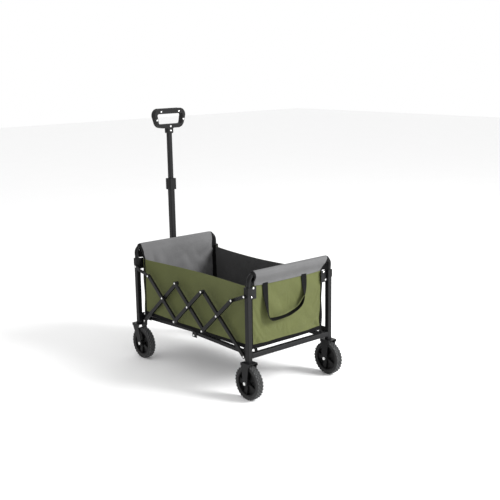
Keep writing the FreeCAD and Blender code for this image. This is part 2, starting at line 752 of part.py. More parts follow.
def floor_clevis(end, x, outward, spread):
    """Two plates and a pin on the cross tube, which carry one floor bar."""
    thick = "sizes.bracket_plate"
    reach = "(sizes.floor_inset + 8 - sizes.post_side / 2)"
    middle_x = f"{x} - {outward} * (sizes.post_side / 2 + {reach} / 2)"
    offset = f"(sizes.floor_tube / 2 + 0.4 + {thick} / 2)"
    parts = []
    for side in (-1, 1):
        centre = (middle_x, f"{spread} + {side} * {offset}", "sizes.floor_height")
        parts.append(box(f"{end}_clevis_{side + 2}", (reach, thick, "20"), centre))
    pivot_x = f"{x} - {outward} * sizes.floor_inset"
    start = (pivot_x, f"{spread} - {offset}", "sizes.floor_height")
    parts.append(rod(f"{end}_clevis_pin", "sizes.pivot_radius", f"2 * {offset}", start, SIDEWAYS))
    return fuse(f"{end}_floor_clevis", *parts)


# Wheels ------------------------------------------------------------------------------------------

def tyre(name, x, y):
    width = "sizes.tyre_width"
    start = (x, f"{y} - {width} / 2", "sizes.wheel_radius")
    blank = rod(name + "_blank", "sizes.wheel_radius", width, start, SIDEWAYS)
    doc.recompute()
    rims = [n for n, edge in enumerate(blank.Shape.Edges, start=1) if len(edge.Vertexes) == 1]
    soft = doc.addObject("Part::Fillet", name + "_soft")
    soft.Base = blank
    soft.Edges = [(number, value("tyre_round"), value("tyre_round")) for number in rims]
    inside = (x, f"{y} - {width} / 2 - 1", "sizes.wheel_radius")
    bore = rod(name + "_bore", "sizes.rim_radius", f"{width} + 2", inside, SIDEWAYS)
    return cut(name, soft, bore)


def hub(name, x, y):
    """A moulded wheel centre: barrel, flared spokes on a thin web, and a rim."""
    body = doc.addObject("PartDesign::Body", name)
    barrel = [("0", "sizes.hub_radius"), ("0", "sizes.axle_radius + sizes.pivot_play")]
    pad(body, circles(body, "XZ_Plane", name + "_barrel", barrel), "sizes.hub_length")
    near, far = "(sizes.hub_radius - 2)", "(sizes.rim_radius - 2)"
    outline = [
        (near, "-sizes.spoke_root"),
        (far, "-sizes.spoke_tip"),
        (far, "sizes.spoke_tip"),
        (near, "sizes.spoke_root"),
    ]
    spoke = pad(body, polygon(body, "XZ_Plane", name + "_spoke", outline), "2.4 * sizes.spoke_thick")
    doc.recompute()
    fan = body.newObject("PartDesign::PolarPattern", name + "_fan")
    fan.Originals = [spoke]
    fan.Axis = (plane_of(body, "Y_Axis"), [""])
    fan.Angle = 360
    fan.Occurrences = int(value("spoke_total"))
    body.Tip = fan
    web = [("0", "(sizes.rim_radius - 2)"), ("0", "(sizes.hub_radius - 1)")]
    pad(body, circles(body, "XZ_Plane", name + "_web", web), "3")
    rim = [("0", "sizes.rim_radius"), ("0", "(sizes.rim_radius - sizes.rim_wall)")]
    pad(body, circles(body, "XZ_Plane", name + "_rim", rim), "sizes.rim_width")
    return place(body, x, y, "sizes.wheel_radius")


def fork(name, x, y, trail, plate_top, swivels):
    """A pressed fork: a top plate and two tapering legs. Its own origin is on the axle."""
    body = doc.addObject("PartDesign::Body", name + "_sheet" if swivels else name)
    top = f"({plate_top} - sizes.wheel_radius)"
    under = f"({top} - sizes.fork_sheet)"
    plate, leg, foot = "sizes.fork_plate / 2", "sizes.fork_top / 2", "sizes.fork_foot"
    outline = [
        (f"{trail} - {plate}", top),
        (f"{trail} - {plate}", f"{under} - 7"),
        (f"{trail} - {leg}", f"{under} - 12"),
        (f"-{foot}", "0"),
        (f"-{foot} * 0.6", f"-{foot} * 0.9"),
        (f"{foot} * 0.6", f"-{foot} * 0.9"),
        (foot, "0"),
        (f"{trail} + {leg}", f"{under} - 12"),
        (f"{trail} + {plate}", f"{under} - 7"),
        (f"{trail} + {plate}", top),
    ]
    pad(body, polygon(body, "XZ_Plane", name + "_outline", outline), "sizes.fork_width")
    inside = "(sizes.fork_width / 2 - sizes.fork_sheet)"
    gap = [(f"-{inside}", "-60"), (inside, "-60"), (inside, under), (f"-{inside}", under)]
    pocket(body, polygon(body, "YZ_Plane", name + "_gap", gap), "400")
    hole = circles(body, "XZ_Plane", name + "_hole", [("0", "sizes.axle_radius + sizes.pivot_play")])
    pocket(body, hole, "sizes.fork_width + 2")
    place(body, x, y, "sizes.wheel_radius")
    if not swivels:
        return body
    post_x = f"{x} + {trail}"
    height = "(sizes.front_post_bottom - sizes.bearing_gap)"
    race = rod(name + "_race", "sizes.bearing_radius", f"{height} - {plate_top}", (post_x, y, plate_top))
    stem = rod(name + "_stem", "sizes.stem_radius", "30", (post_x, y, plate_top))
    return fuse(name, body, race, stem)


def axle(name, x, y):
    """A bolt through fork and hub, with a nut at each end."""
    half = "(sizes.fork_width / 2)"
    nut = "sizes.nut_height"
    start = (x, f"{y} - {half} - {nut}", "sizes.wheel_radius")
    parts = [rod(name + "_bolt", "sizes.axle_radius", f"2 * ({half} + {nut})", start, SIDEWAYS)]
    for index, low in enumerate((f"{y} - {half} - {nut}", f"{y} + {half}")):
        item = doc.addObject("Part::Prism", f"{name}_nut_{index + 1}")
        item.Polygon = 6
        bind(item, Circumradius="sizes.nut_radius", Height=nut)
        parts.append(place(item, x, low, "sizes.wheel_radius", turn=SIDEWAYS))
    return fuse(name, *parts)


# Handle ------------------------------------------------------------------------------------------

POLE_X = f"({FRONT_X} + sizes.pole_forward)"


def on_pole(item):
    """Puts a piece that was made about the handle's pivot in its place on the wagon."""
    place(item, POLE_X, "0", "sizes.pole_height")
    return lean(item, "sizes.pole_lean * 1 deg")


def handle_bracket():
    """Two cheeks and a web on the front cross tube, which carry the handle."""
    low, high = "(sizes.pole_height - 20)", "(sizes.pole_height + 14)"
    reach = "(sizes.pole_forward + 12 - sizes.post_side / 2)"
    middle_x = f"{FRONT_X} + sizes.post_side / 2 + {reach} / 2"
    offset = "(sizes.pole_side / 2 + 0.5 + sizes.fork_sheet / 2)"
    parts = []
    for side in (-1, 1):
        size = (reach, "sizes.fork_sheet", f"({high} - {low})")
        centre = (middle_x, f"{side} * {offset}", f"({high} + {low}) / 2")
        parts.append(box(f"handle_cheek_{side + 2}", size, centre))
    web = (reach, f"2 * {offset}", "sizes.fork_sheet")
    parts.append(box("handle_web", web, (middle_x, "0", f"{low} + sizes.fork_sheet / 2")))
    start = (POLE_X, "-30", "sizes.pole_height")
    hole = rod("handle_bracket_hole", "sizes.axle_radius - 1 + sizes.pivot_play", "60", start, SIDEWAYS)
    return cut("handle_bracket", fuse("handle_cheeks", *parts), hole)


def handle_bolt():
    half = "(sizes.pole_side / 2 + 0.5 + sizes.fork_sheet)"
    radius = "(sizes.axle_radius - 1)"
    start = (POLE_X, f"-{half}", "sizes.pole_height")
    parts = [rod("handle_bolt_shank", radius, f"2 * {half}", start, SIDEWAYS)]
    for index, low in enumerate((f"-{half} - 4", half)):
        cap = ("sizes.nut_radius", "4", (POLE_X, low, "sizes.pole_height"))
        parts.append(rod(f"handle_bolt_cap_{index + 1}", *cap, SIDEWAYS))
    return fuse("handle_bolt", *parts)


def handle_lower_tube():
    foot, top = dims("pole_foot", "pole_top")
    centre = ("0", "0", f"({top} + sizes.collar_seat - {foot}) / 2")
    tube = square_tube("pole", "sizes.pole_side", f"({top} + sizes.collar_seat + {foot})", centre, "Z")
    hole = rod("pole_hole", "sizes.axle_radius - 1 + sizes.pivot_play", "60", ("0", "-30", "0"), SIDEWAYS)
    return on_pole(cut("handle_lower_tube", tube, hole))


def handle_collar():
    """The clamp on top of the lower tube, through which the upper tube slides."""
    top, seat, tall = dims("pole_top", "collar_seat", "collar_height")
    side = "sizes.collar_side"
    block = box("collar_box", (side, side, tall), ("0", "0", f"{top} + {tall} / 2"))
    block = rounded("collar_block", block, 5.0, AXES["Z"])
    seat_side = "(sizes.pole_side + 0.2)"
    recess = box("collar_recess", (seat_side, seat_side, "60"), ("0", "0", f"{top} + {seat} + 0.2 - 30"))
    bore_side = "(sizes.slider_side + 0.5)"
    bore = box("collar_bore", (bore_side, bore_side, "400"), ("0", "0", top))
    hole = rod("collar_button_hole", "sizes.button_radius + 0.2", "30", ("0", "0", BUTTON_HEIGHT), FORWARDS)
    return on_pole(cut("handle_collar", block, recess, bore, hole))


BUTTON_HEIGHT = "(sizes.pole_top + (sizes.collar_height + sizes.collar_seat) / 2)"


def release_button():
    start = ("sizes.slider_side / 2 + 0.5 + sizes.button_travel", "0", BUTTON_HEIGHT)
    length = f"sizes.collar_side / 2 + sizes.button_travel + 0.5 - ({start[0]})"
    button = rod("button_rod", "sizes.button_radius", length, start, FORWARDS)
    return on_pole(group("release_button", button))


def handle_upper_tube():
    low, top = dims("slider_low", "slider_top")
    size = ("sizes.slider_side", f"({top} - {low})", ("0", "0", f"({top} + {low}) / 2"), "Z")
    return on_pole(group("handle_upper_tube", square_tube("slider", *size)))


SCREWS = [("-52", "971"), ("52", "971"), ("-77", "932"), ("77", "932"), ("0", "901"), ("0", "881")]


def round_edges(body, name, radius, test):
    """Rounds the body's front-to-back edges that pass a test."""
    base = body.Tip
    feature = body.newObject("PartDesign::Fillet", name)
    feature.Base = (base, [f"Edge{n}" for n in edges_along(base.Shape, AXES["X"], test)])
    feature.Radius = radius
    doc.recompute()
    body.Tip = feature


def at_window(point):
    """True on a corner of the grip's finger opening."""
    top = (value("window_top_half"), value("grip_high") - value("grip_top_bar"))
    low = (value("window_low_half"), value("grip_low") + value("grip_bottom_bar"))
    return any(math.hypot(abs(point.y) - y, point.z - z) < 1 for y, z in (top, low))


def grip_shell(name, outward):
    """One half of the hand grip: a wide ring on a short neck, split on its middle plane."""
    low, high = dims("grip_low", "grip_high")
    top_half, low_half, neck = dims("grip_top_half", "grip_bottom_half", "neck_half")
    neck_low = f"({low} - sizes.neck_height)"
    outline = [
        (f"-{top_half}", high), (top_half, high), (low_half, low), (neck, low),
        (neck, neck_low), (f"-{neck}", neck_low), (f"-{neck}", low), (f"-{low_half}", low),
    ]
    body = doc.addObject("PartDesign::Body", name + "_body")
    pad(body, polygon(body, "YZ_Plane", name + "_outline", outline), "sizes.grip_thick / 2")
    doc.recompute()
    middle = (value("grip_low") + value("grip_high")) / 2
    wide = value("neck_half") + 10
    round_edges(body, name + "_round_top", 32.0, lambda p: p.z > middle)
    round_edges(body, name + "_round_low", 36.0, lambda p: p.z < middle and abs(p.y) > wide)
    round_edges(body, name + "_round_neck", 5.0, lambda p: abs(p.y) < wide)
    window_top, window_low = f"({high} - sizes.grip_top_bar)", f"({low} + sizes.grip_bottom_bar)"
    wide_top, wide_low = dims("window_top_half", "window_low_half")
    window = [
        (f"-{wide_top}", window_top),
        (wide_top, window_top),
        (wide_low, window_low),
        (f"-{wide_low}", window_low),
    ]
    pocket(body, polygon(body, "YZ_Plane", name + "_window", window), "sizes.grip_thick")
    doc.recompute()
    round_edges(body, name + "_round_window", value("window_round"), at_window)
    place(body, f"({outward}) * sizes.grip_thick / 4")
    socket_side = "(sizes.slider_side + 0.4)"
    socket_size = (socket_side, socket_side, "60")
    tools = [box(name + "_socket", socket_size, ("0", "0", "sizes.slider_top + 0.2 - 30"))]
    for index, (y, z) in enumerate(SCREWS):
        tools.append(rod(f"{name}_hole_{index + 1}", "2.2", "60", ("-30", y, z), FORWARDS))
    return on_pole(cut(name, body, *tools))


def grip_screws():
    """Screws through both grip halves, with their heads on the rear face."""
    parts = []
    for index, (y, z) in enumerate(SCREWS):
        face = "(0 - sizes.grip_thick / 2)"
        turned = FreeCAD.Rotation(FreeCAD.Vector(0, 1, 0), -90)
        head = dome(f"screw_head_{index + 1}", (face, y, z), turned)
        shank = rod(f"screw_shank_{index + 1}", "2", "sizes.grip_thick - 5", (face, y, z), FORWARDS)
        parts.append(fuse(f"screw_{index + 1}", head, shank))
    return on_pole(group("grip_screws", *parts))


# Assembly ----------------------------------------------------------------------------------------

ENDS = [
    # name, post line, outward direction, post bottom
    ("front", FRONT_X, "1", "sizes.front_post_bottom"),
    ("rear", REAR_X, "-1", "sizes.post_bottom"),
]
# The bracket plates stand just inboard of the strut that they carry: layer 1 in front, 2 behind.
PLATE_Y = {
    "front": f"({layer_in(1)} - 0.6 - sizes.bracket_plate / 2)",
    "rear": f"({layer_in(2)} - 0.6 - sizes.bracket_plate / 2)",
}
END_JOINT = {"front": ("P4", 1), "rear": ("P13", 2)}
LINK_BASE_Z = "(sizes.joint_height + sizes.link_height)"
LINK_FACE = "(sizes.post_spread + sizes.link_plane)"


def end_rivets(end, x, outward):
    """Rivets of one end frame: link pivots, scissor pivots, and the bag plates' rivets."""
    joint, number = END_JOINT[end]
    joint_x, joint_z = JOINTS[joint]
    link_x = f"({x} - ({outward}) * (sizes.joint_inset - sizes.link_inset))"
    plate_back = f"({PLATE_Y[end]} - sizes.bracket_plate / 2)"
    halves = [
        rivet(f"{end}_link_rivet", link_x, LINK_BASE_Z, POST_FACE, f"{LINK_FACE} + sizes.link_thick", False),
        rivet(f"{end}_scissor_rivet", joint_x, joint_z, plate_back, layer_out(number)),
    ]
    washer_length = f"({LINK_FACE} - 0.2 - {POST_FACE})"
    washer_start = (link_x, POST_FACE, LINK_BASE_Z)
    washer = rod(f"{end}_washer", "sizes.washer_radius", washer_length, washer_start, SIDEWAYS)
    halves[0] = fuse(f"{end}_link_pivot", halves[0], washer)
    bolt_x = f"({x} - ({outward}) * 20)"
    bolt_face = f"({PLATE_Y[end]} + sizes.bracket_plate / 2)"
    bolt = (bolt_x, bolt_face, "sizes.joint_height + sizes.bracket_rivet")
    halves.append(dome(f"{end}_bracket_rivet", bolt, SIDEWAYS))
    facing = FORWARDS if outward == "1" else FreeCAD.Rotation(FreeCAD.Vector(0, 1, 0), -90)
    plate_x = f"{x} + ({outward}) * ({PLATE_STAND} + sizes.bracket_plate / 2)"
    for index, (inboard, drop) in enumerate((("30", "-20"), ("18", "17"))):
        spot = (plate_x, f"{SPREAD} - {inboard}", f"{PLATE_HEIGHT} - ({drop})")
        halves.append(dome(f"{end}_plate_rivet_{index + 1}", spot, facing))
    return pair(f"{end}_rivets", *halves)


def strut_rivets():
    """Rivets of the scissor, each kept with its outer strut."""
    owners = {
        "strut_a_rivets": [("P3", 1, 2)],
        "strut_c_rivets": [("P5", 1, 2)],
        "strut_d_rivets": [("P6", 2, 3), ("P7", 2, 3), ("P8", 2, 3)],
        "strut_f_rivets": [("P9", 2, 3), ("P10", 2, 3)],
    }
    nodes = []
    for owner, places in owners.items():
        halves = []
        for joint, inner, outer in places:
            x, z = JOINTS[joint]
            halves.append(rivet(f"rivet_{joint}", x, z, layer_in(inner), layer_out(outer)))
        if owner == "strut_f_rivets":
            x, z = JOINTS["P11"]
            halves.append(rivet("rivet_P11", x, z, layer_in(3), layer_out(3), False))
        nodes.append(pair(owner, *halves))
    return nodes


def links():
    """The short bars from the post tops to the scissor, and the front ones' rivets."""
    slope = math.degrees(math.atan2(LINK_DROP, LINK_RUN))
    nodes = []
    for end, x, outward, _ in ENDS:
        bar = link(f"link_{end}_bar", f"{end}_link_end")
        link_x = f"{x} - ({outward}) * (sizes.joint_inset - sizes.link_inset)"
        place(bar, link_x, SPREAD, LINK_BASE_Z)
        lean(bar, f"{180 - slope if end == 'front' else slope} deg")
        nodes.append(pair(f"link_{end}", bar))
    x, z = JOINTS["P2"]
    start = f"({SPREAD} + sizes.front_link_end)"
    joint_rivet = rivet("rivet_P2", x, z, start, f"{start} + sizes.link_thick", False)
    nodes.append(pair("link_front_rivets", joint_rivet))
    return nodes


def end_frame(end, x, outward, bottom):
    nodes = [
        posts(end, x, bottom),
        cross_tube(end, x),
        arch_tube(end, x, int(outward)),
        post_caps(end, x, int(outward)),
        end_rivets(end, x, outward),
        end_panel(f"bag_{end}_panel", x, int(outward)),
    ]
    spread = f"sizes.{end}_bar_spread"
    plates = corner_brackets(end, x, int(outward), PLATE_Y[end])
    extras = [floor_clevis(end, x, int(outward), spread), bag_plates(end, x, outward)]
    nodes.append(pair(f"{end}_corner_brackets", plates, *extras))
    return nodes


def wheels():
    """Four wheels with their forks and axles: the front ones swivel and trail."""
    nodes = []
    rear_axles = []
    for side, y in (("left", SPREAD), ("right", f"(0 - {SPREAD})")):
        front_x = f"({FRONT_X} - sizes.caster_trail)"
        front_top = "(sizes.front_post_bottom - 3)"
        nodes.append(fork(f"front_fork_{side}", front_x, y, "sizes.caster_trail", front_top, True))
        nodes.append(fork(f"rear_fork_{side}", REAR_X, y, "0", "sizes.post_bottom", False))
        nodes.append(axle(f"front_axle_{side}", front_x, y))
        rear_axles.append(axle(f"rear_axle_{side}", REAR_X, y))
        for end, x in (("front", front_x), ("rear", REAR_X)):
            nodes.append(tyre(f"tyre_{end}_{side}", x, y))
            nodes.append(hub(f"hub_{end}_{side}", x, y))
    nodes.append(group("rear_axles", *rear_axles))
    return nodes


SUBPARTS = [node for end in ENDS for node in end_frame(*end)]
SUBPARTS += [strut(*row) for row in STRUTS] + strut_rivets() + links() + wheels()
SUBPARTS += bag_sides() + [bag_floor(), floor_mat(), carry_strap(REAR_X)]
SUBPARTS += [
    floor_bars("front", "sizes.front_bar_spread", FRONT_TURN, FRONT_BAR_X),
    floor_bars("rear", "sizes.rear_bar_spread", REAR_TURN, REAR_BAR_X),
    floor_cross_tube(),
]
SUBPARTS += [
    group(
        "floor_hinge_rivets",
        floor_rivets("rear", "sizes.rear_bar_spread", REAR_TURN, REAR_BAR_X),
    )
]
SUBPARTS += [
    handle_bracket(),
    handle_bolt(),
    handle_lower_tube(),
    handle_collar(),
    handle_upper_tube(),
    grip_shell("grip_front_shell", "1"),
    grip_shell("grip_rear_shell", "-1"),
    grip_screws(),
    release_button(),
]

doc.recompute()
failed = [item.Name for item in doc.Objects if {"Invalid", "Error"} & set(item.State)]
if failed:
    raise RuntimeError(f"these objects did not build: {failed}")
for node in SUBPARTS:
    if node.Shape.isNull() or not node.Shape.isValid() or not node.Shape.Solids:
        raise RuntimeError(f"{node.Label} has no valid solid")

os.makedirs("parts", exist_ok=True)
for node in SUBPARTS:
    node.Shape.exportStep(f"parts/{node.Label}.step")
print(len(SUBPARTS), "sub-parts written")
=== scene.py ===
import json
import math

import bmesh
import bpy
from mathutils import Matrix, Vector, noise


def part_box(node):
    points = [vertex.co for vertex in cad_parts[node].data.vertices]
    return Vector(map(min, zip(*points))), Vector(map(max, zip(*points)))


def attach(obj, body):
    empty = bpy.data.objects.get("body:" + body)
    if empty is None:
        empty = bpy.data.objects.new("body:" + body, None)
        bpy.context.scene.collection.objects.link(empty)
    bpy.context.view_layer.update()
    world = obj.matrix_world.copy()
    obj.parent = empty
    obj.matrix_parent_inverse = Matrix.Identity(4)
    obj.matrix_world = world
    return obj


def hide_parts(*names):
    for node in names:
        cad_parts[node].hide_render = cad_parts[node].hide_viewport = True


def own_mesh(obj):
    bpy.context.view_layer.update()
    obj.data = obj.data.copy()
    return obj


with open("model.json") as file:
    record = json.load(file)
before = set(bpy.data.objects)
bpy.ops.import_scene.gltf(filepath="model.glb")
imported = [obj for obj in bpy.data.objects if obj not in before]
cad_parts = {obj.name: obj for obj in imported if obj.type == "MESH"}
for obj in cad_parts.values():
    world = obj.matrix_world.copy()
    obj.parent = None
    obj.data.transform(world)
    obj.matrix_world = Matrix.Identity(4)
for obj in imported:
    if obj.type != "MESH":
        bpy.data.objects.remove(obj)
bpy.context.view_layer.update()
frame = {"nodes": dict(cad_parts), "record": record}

# Looks of the folding camp wagon. Metres, in the shared frame: +X to the pull handle, +Y left, +Z up.

# Thicknesses of the cloth and of the tapes sewn on it.
SHEET = 0.0015
BINDING = 0.0036
CORNER_TAPE = 0.0030
GUSSET_CLOTH = 0.0022
TAB_TAPE = 0.0020

# The ends' cloth. "In" is the distance from the arch tube's middle line towards the wagon's middle.
ARCH_BEND = 0.034
TUBE_RADIUS = 0.0095
FLAP_LOW = 0.485
FLAP_IN = 0.0150
WALL_IN = 0.0188
WALL_TOP = FLAP_LOW + 0.010
LINING_GAP = 0.0034  # from the end wall to the lining
SLEEVE_GAP = 0.0022  # from the arch tube to the sleeve over it
SLEEVE_TOP_HALF = 0.222
SLEEVE_LOW_HALF = 0.204
LINING_HALF = 0.206
PANEL_HALF = 0.205

# The long sides: how far their free edge bows in and sags, how far they lie outside their CAD panels
# and reach past them, and how much of their length is left when folded.
TOP_BOW = 0.032
TOP_SAG = 0.003
SIDE_OUT = 0.001
SIDE_REACH = 0.004
BAND_TALL = 0.018

# The floor. "In" is the distance from an end's post line towards the middle: to where the cloth bends
# when folded, to the cloth's end, and to the end of the board.
FLOOR_BEND_IN = 0.096
FLOOR_END_IN = 0.012
MAT_END_IN = 0.132
MAT_HALF = 0.175
FLOOR_MARGIN = 0.0035
FLOOR_LIFT = 0.0016

# Columns and rows of the cloth grids, and the frames of their simulation.
FLOOR_CELL = 0.008
SIDE_GRID = (132, 46)
WALL_GRID = (84, 60)
MAT_GRID = (72, 48)
SLEEVE_COLUMNS = 96
LINING_ROWS = 24
OVER_ROWS = 14
FLAP_ROWS = 12
SIM_FRAMES = 24

# Rows of the sleeve's grid: where it starts to widen and to narrow, and where its tapes and the
# drape of its flap begin.
WIDEN_ROW = 17
NARROW_ROW = 33
TAPE_ROW = 19
DRAPE_ROW = 36

ENDS = {"rear": -1, "front": 1}
SIDES = {"left": 1, "right": -1}


# Helpers for node materials -----------------------------------------------------------------------

class Paint:
    """A node material under construction: its tree, its shader and short ways to add nodes."""

    def __init__(self, name, roughness, metallic=0.0, **sockets):
        self.material = bpy.data.materials.new(name)
        self.material.use_nodes = True
        self.tree = self.material.node_tree
        self.shader = self.tree.nodes["Principled BSDF"]
        self.shader.inputs["Roughness"].default_value = roughness
        self.shader.inputs["Metallic"].default_value = metallic
        for socket, value in sockets.items():
            self.shader.inputs[socket.replace("_", " ")].default_value = value

    def node(self, kind, inputs=(), **settings):
        """Adds a node, with its inputs linked or set."""
        item = self.tree.nodes.new("ShaderNode" + kind)
        for key, value in settings.items():
            setattr(item, key, value)
        for socket, value in dict(inputs).items():
            self.feed(value, item.inputs[socket])
        return item

    def feed(self, value, socket):
        """Links an output, or sets a constant."""
        if isinstance(value, bpy.types.NodeSocket):
            self.tree.links.new(value, socket)
        else:
            socket.default_value = value

    def calc(self, operation, first, second):
        """Joins two values by one sum or product."""
        return self.node("Math", {0: first, 1: second}, operation=operation).outputs[0]

    def cloud(self, scale, detail, vector, roughness=0.5):
        """Cloudy noise, with a number of clouds per metre."""
        inputs = {"Scale": scale, "Detail": detail, "Vector": vector, "Roughness": roughness}
        return self.node("TexNoise", inputs).outputs["Fac"]

    def place(self):
        """The point on the surface, in metres."""
        return self.node("TexCoord").outputs["Object"]

    def weave_place(self, pitch):
        """The point along the cloth's threads, counted in threads."""
        laid = self.node("UVMap", uv_map="cloth").outputs["UV"]
        scale = (1 / pitch, 1 / pitch, 1.0)
        return self.node("Mapping", {"Vector": laid, "Scale": scale}).outputs["Vector"]

    def ramp(self, value, low, high, start=0.0, end=1.0):
        """Maps a value from start..end to low..high."""
        inputs = {"Value": value, 1: start, 2: end, 3: low, 4: high}
        return self.node("MapRange", inputs).outputs[0]

    def shaded(self, colour, amount):
        """A colour made lighter or darker by a value about 1."""
        inputs = {"Color": colour, "Value": amount}
        return self.node("HueSaturation", inputs).outputs["Color"]

    def bump(self, height, strength, distance, below=None):
        """A surface direction shaped by a height, on top of another one if given."""
        inputs = {"Height": height, "Strength": strength, "Distance": distance}
        if below is not None:
            inputs["Normal"] = below
        return self.node("Bump", inputs).outputs["Normal"]

    def finish(self, colour, normal=None, roughness=None):
        """Feeds the shader and gives back the material."""
        self.feed(colour, self.shader.inputs["Base Color"])
        if normal is not None:
            self.feed(normal, self.shader.inputs["Normal"])
        if roughness is not None:
            self.feed(roughness, self.shader.inputs["Roughness"])
        return self.material


def wave(paint, vector, direction):
    """One thread per unit, from 0 in a gap to 1 on a thread's crown."""
    inputs = {"Vector": vector, "Scale": math.pi / 10}
    return paint.node("TexWave", inputs, wave_type="BANDS", bands_direction=direction).outputs["Fac"]


THREAD = 0.0014


def cloth_paint(name, colour, sheen, melange=0.1):
    """A plain woven cloth: threads over and under, uneven dye, painted shade in the gaps between threads,
    and soft crumpling.
    """
    paint = Paint(name, 0.82, Sheen_Weight=sheen, Sheen_Roughness=0.5, Specular_IOR_Level=0.2)
    laid = paint.weave_place(THREAD)
    warp, weft = wave(paint, laid, "X"), wave(paint, laid, "Y")
    over = paint.node("TexChecker", {"Vector": laid, "Scale": 1.0}).outputs["Fac"]
    threads = paint.node("Mix", {"Factor": over, 2: warp, 3: weft}).outputs[0]
    place = paint.place()
    blotch = paint.ramp(paint.cloud(9.0, 4.0, place), 0.93, 1.07, 0.3, 0.7)
    slub = paint.ramp(paint.cloud(900.0, 2.0, place), 1 - melange, 1 + melange, 0.3, 0.7)
    # Painted shade: darker in the gaps between threads, with a faint painted highlight on their crowns.
    thread_gap_shade = paint.ramp(threads, 0.86, 1.05)
    shade = paint.calc("MULTIPLY", paint.calc("MULTIPLY", blotch, slub), thread_gap_shade)
    folds = paint.bump(paint.cloud(16.0, 3.0, place, 0.45), 0.5, 0.0060)
    normal = paint.bump(threads, 0.35, 0.0003, folds)
    rough = paint.ramp(threads, 0.9, 0.76)
    return paint.finish(paint.shaded((*colour, 1.0), shade), normal, rough)


def webbing_paint(name, colour):
    """Narrow woven tape: ribs one way, finer ones the other way, painted shade in their grooves, and a
    little fuzz.
    """
    paint = Paint(name, 0.8, Specular_IOR_Level=0.1)
    laid = paint.weave_place(0.0018)
    ribs = wave(paint, laid, "X")
    cross = wave(paint, laid, "Y")
    height = paint.calc("ADD", ribs, paint.calc("MULTIPLY", cross, 0.4))
    # Painted shade in the grooves between the ribs, and painted highlight on their crowns.
    shade = paint.ramp(height, 0.75, 1.2, 0.0, 1.4)
    fuzz = paint.ramp(paint.cloud(700.0, 2.0, paint.place()), 0.85, 1.15, 0.3, 0.7)
    colour = paint.shaded((*colour, 1.0), paint.calc("MULTIPLY", shade, fuzz))
    return paint.finish(colour, paint.bump(height, 0.5, 0.0004))


def coated_paint(name, colour, roughness):
    """Satin powder coat on steel: fine orange peel, dust, and slightly rubbed edges."""
    paint = Paint(name, roughness, Specular_IOR_Level=0.16)
    place = paint.place()
    peel = paint.cloud(900.0, 2.0, place)
    dust = paint.cloud(22.0, 5.0, place, 0.6)
    edge = paint.node("NewGeometry").outputs["Pointiness"]
    rubbed = paint.ramp(edge, 0.0, 1.2, 0.51, 0.58)
    tone = paint.calc("ADD", paint.ramp(dust, 0.85, 1.2, 0.3, 0.7), rubbed)
    normal = paint.bump(peel, 0.12, 0.0003)
    rough = paint.ramp(dust, roughness - 0.06, roughness + 0.08, 0.3, 0.7)
    return paint.finish(paint.shaded((*colour, 1.0), tone), normal, rough)


def plastic_paint(name, colour, roughness):
    """Moulded plastic with a fine spark-eroded grain."""
    paint = Paint(name, roughness, Specular_IOR_Level=0.15)
    place = paint.place()
    cells = paint.node("TexVoronoi", {"Vector": place, "Scale": 1500.0}).outputs["Distance"]
    tone = paint.ramp(paint.cloud(40.0, 4.0, place), 0.88, 1.14, 0.3, 0.7)
    rough = paint.ramp(cells, roughness - 0.05, roughness + 0.08)
    return paint.finish(paint.shaded((*colour, 1.0), tone), paint.bump(cells, 0.2, 0.0003), rough)


def rubber_paint(name, colour):
    """Foamed tyre rubber: matt, finely pitted, dusty, and darker off the tread."""
    paint = Paint(name, 0.78)
    place = paint.place()
    pits = paint.cloud(1100.0, 3.0, place)
    dust = paint.cloud(60.0, 5.0, place, 0.7)
    dusty = paint.ramp(dust, 0.6, 1.6, 0.3, 0.7)
    tone = paint.calc("MULTIPLY", dusty, paint.ramp(pits, 0.7, 1.3, 0.3, 0.7))
    tread = paint.node("Attribute", attribute_name="tread").outputs["Fac"]
    tone = paint.calc("MULTIPLY", tone, paint.ramp(tread, 0.22, 1.0))
    return paint.finish(paint.shaded((*colour, 1.0), tone), paint.bump(pits, 0.4, 0.0004))


def steel_paint(name, colour):
    """Zinc-plated steel, lightly brushed."""
    paint = Paint(name, 0.26, 1.0)
    place = paint.place()
    brushed = paint.cloud(1600.0, 2.0, place)
    stain = paint.ramp(paint.cloud(120.0, 4.0, place), 0.86, 1.08, 0.3, 0.7)
    rough = paint.ramp(brushed, 0.2, 0.36)
    return paint.finish(paint.shaded((*colour, 1.0), stain), paint.bump(brushed, 0.08, 0.0002), rough)


PAINTS = {
    "frame_paint": coated_paint("frame_paint", (0.0035, 0.0035, 0.0038), 0.38),
    "zinc_steel": steel_paint("zinc_steel", (0.86, 0.86, 0.85)),
    "black_plastic": plastic_paint("black_plastic", (0.0060, 0.0060, 0.0062), 0.50),
    "wheel_plastic": plastic_paint("wheel_plastic", (0.0065, 0.0065, 0.0068), 0.42),
    "tyre_rubber": rubber_paint("tyre_rubber", (0.048, 0.049, 0.050)),
    "green_fabric": cloth_paint("green_fabric", (0.091, 0.101, 0.0345), 0.06),
    "grey_fabric": cloth_paint("grey_fabric", (0.122, 0.122, 0.124), 0.06, 0.14),
    "lining_fabric": cloth_paint("lining_fabric", (0.070, 0.070, 0.071), 0.02),
    "webbing": webbing_paint("webbing", (0.0042, 0.0042, 0.0045)),
}


# Helpers for meshes -------------------------------------------------------------------------------

def link(name, mesh):
    """Puts a mesh into the scene as a named piece."""
    piece = bpy.data.objects.new(name, mesh)
    bpy.context.scene.collection.objects.link(piece)
    return piece


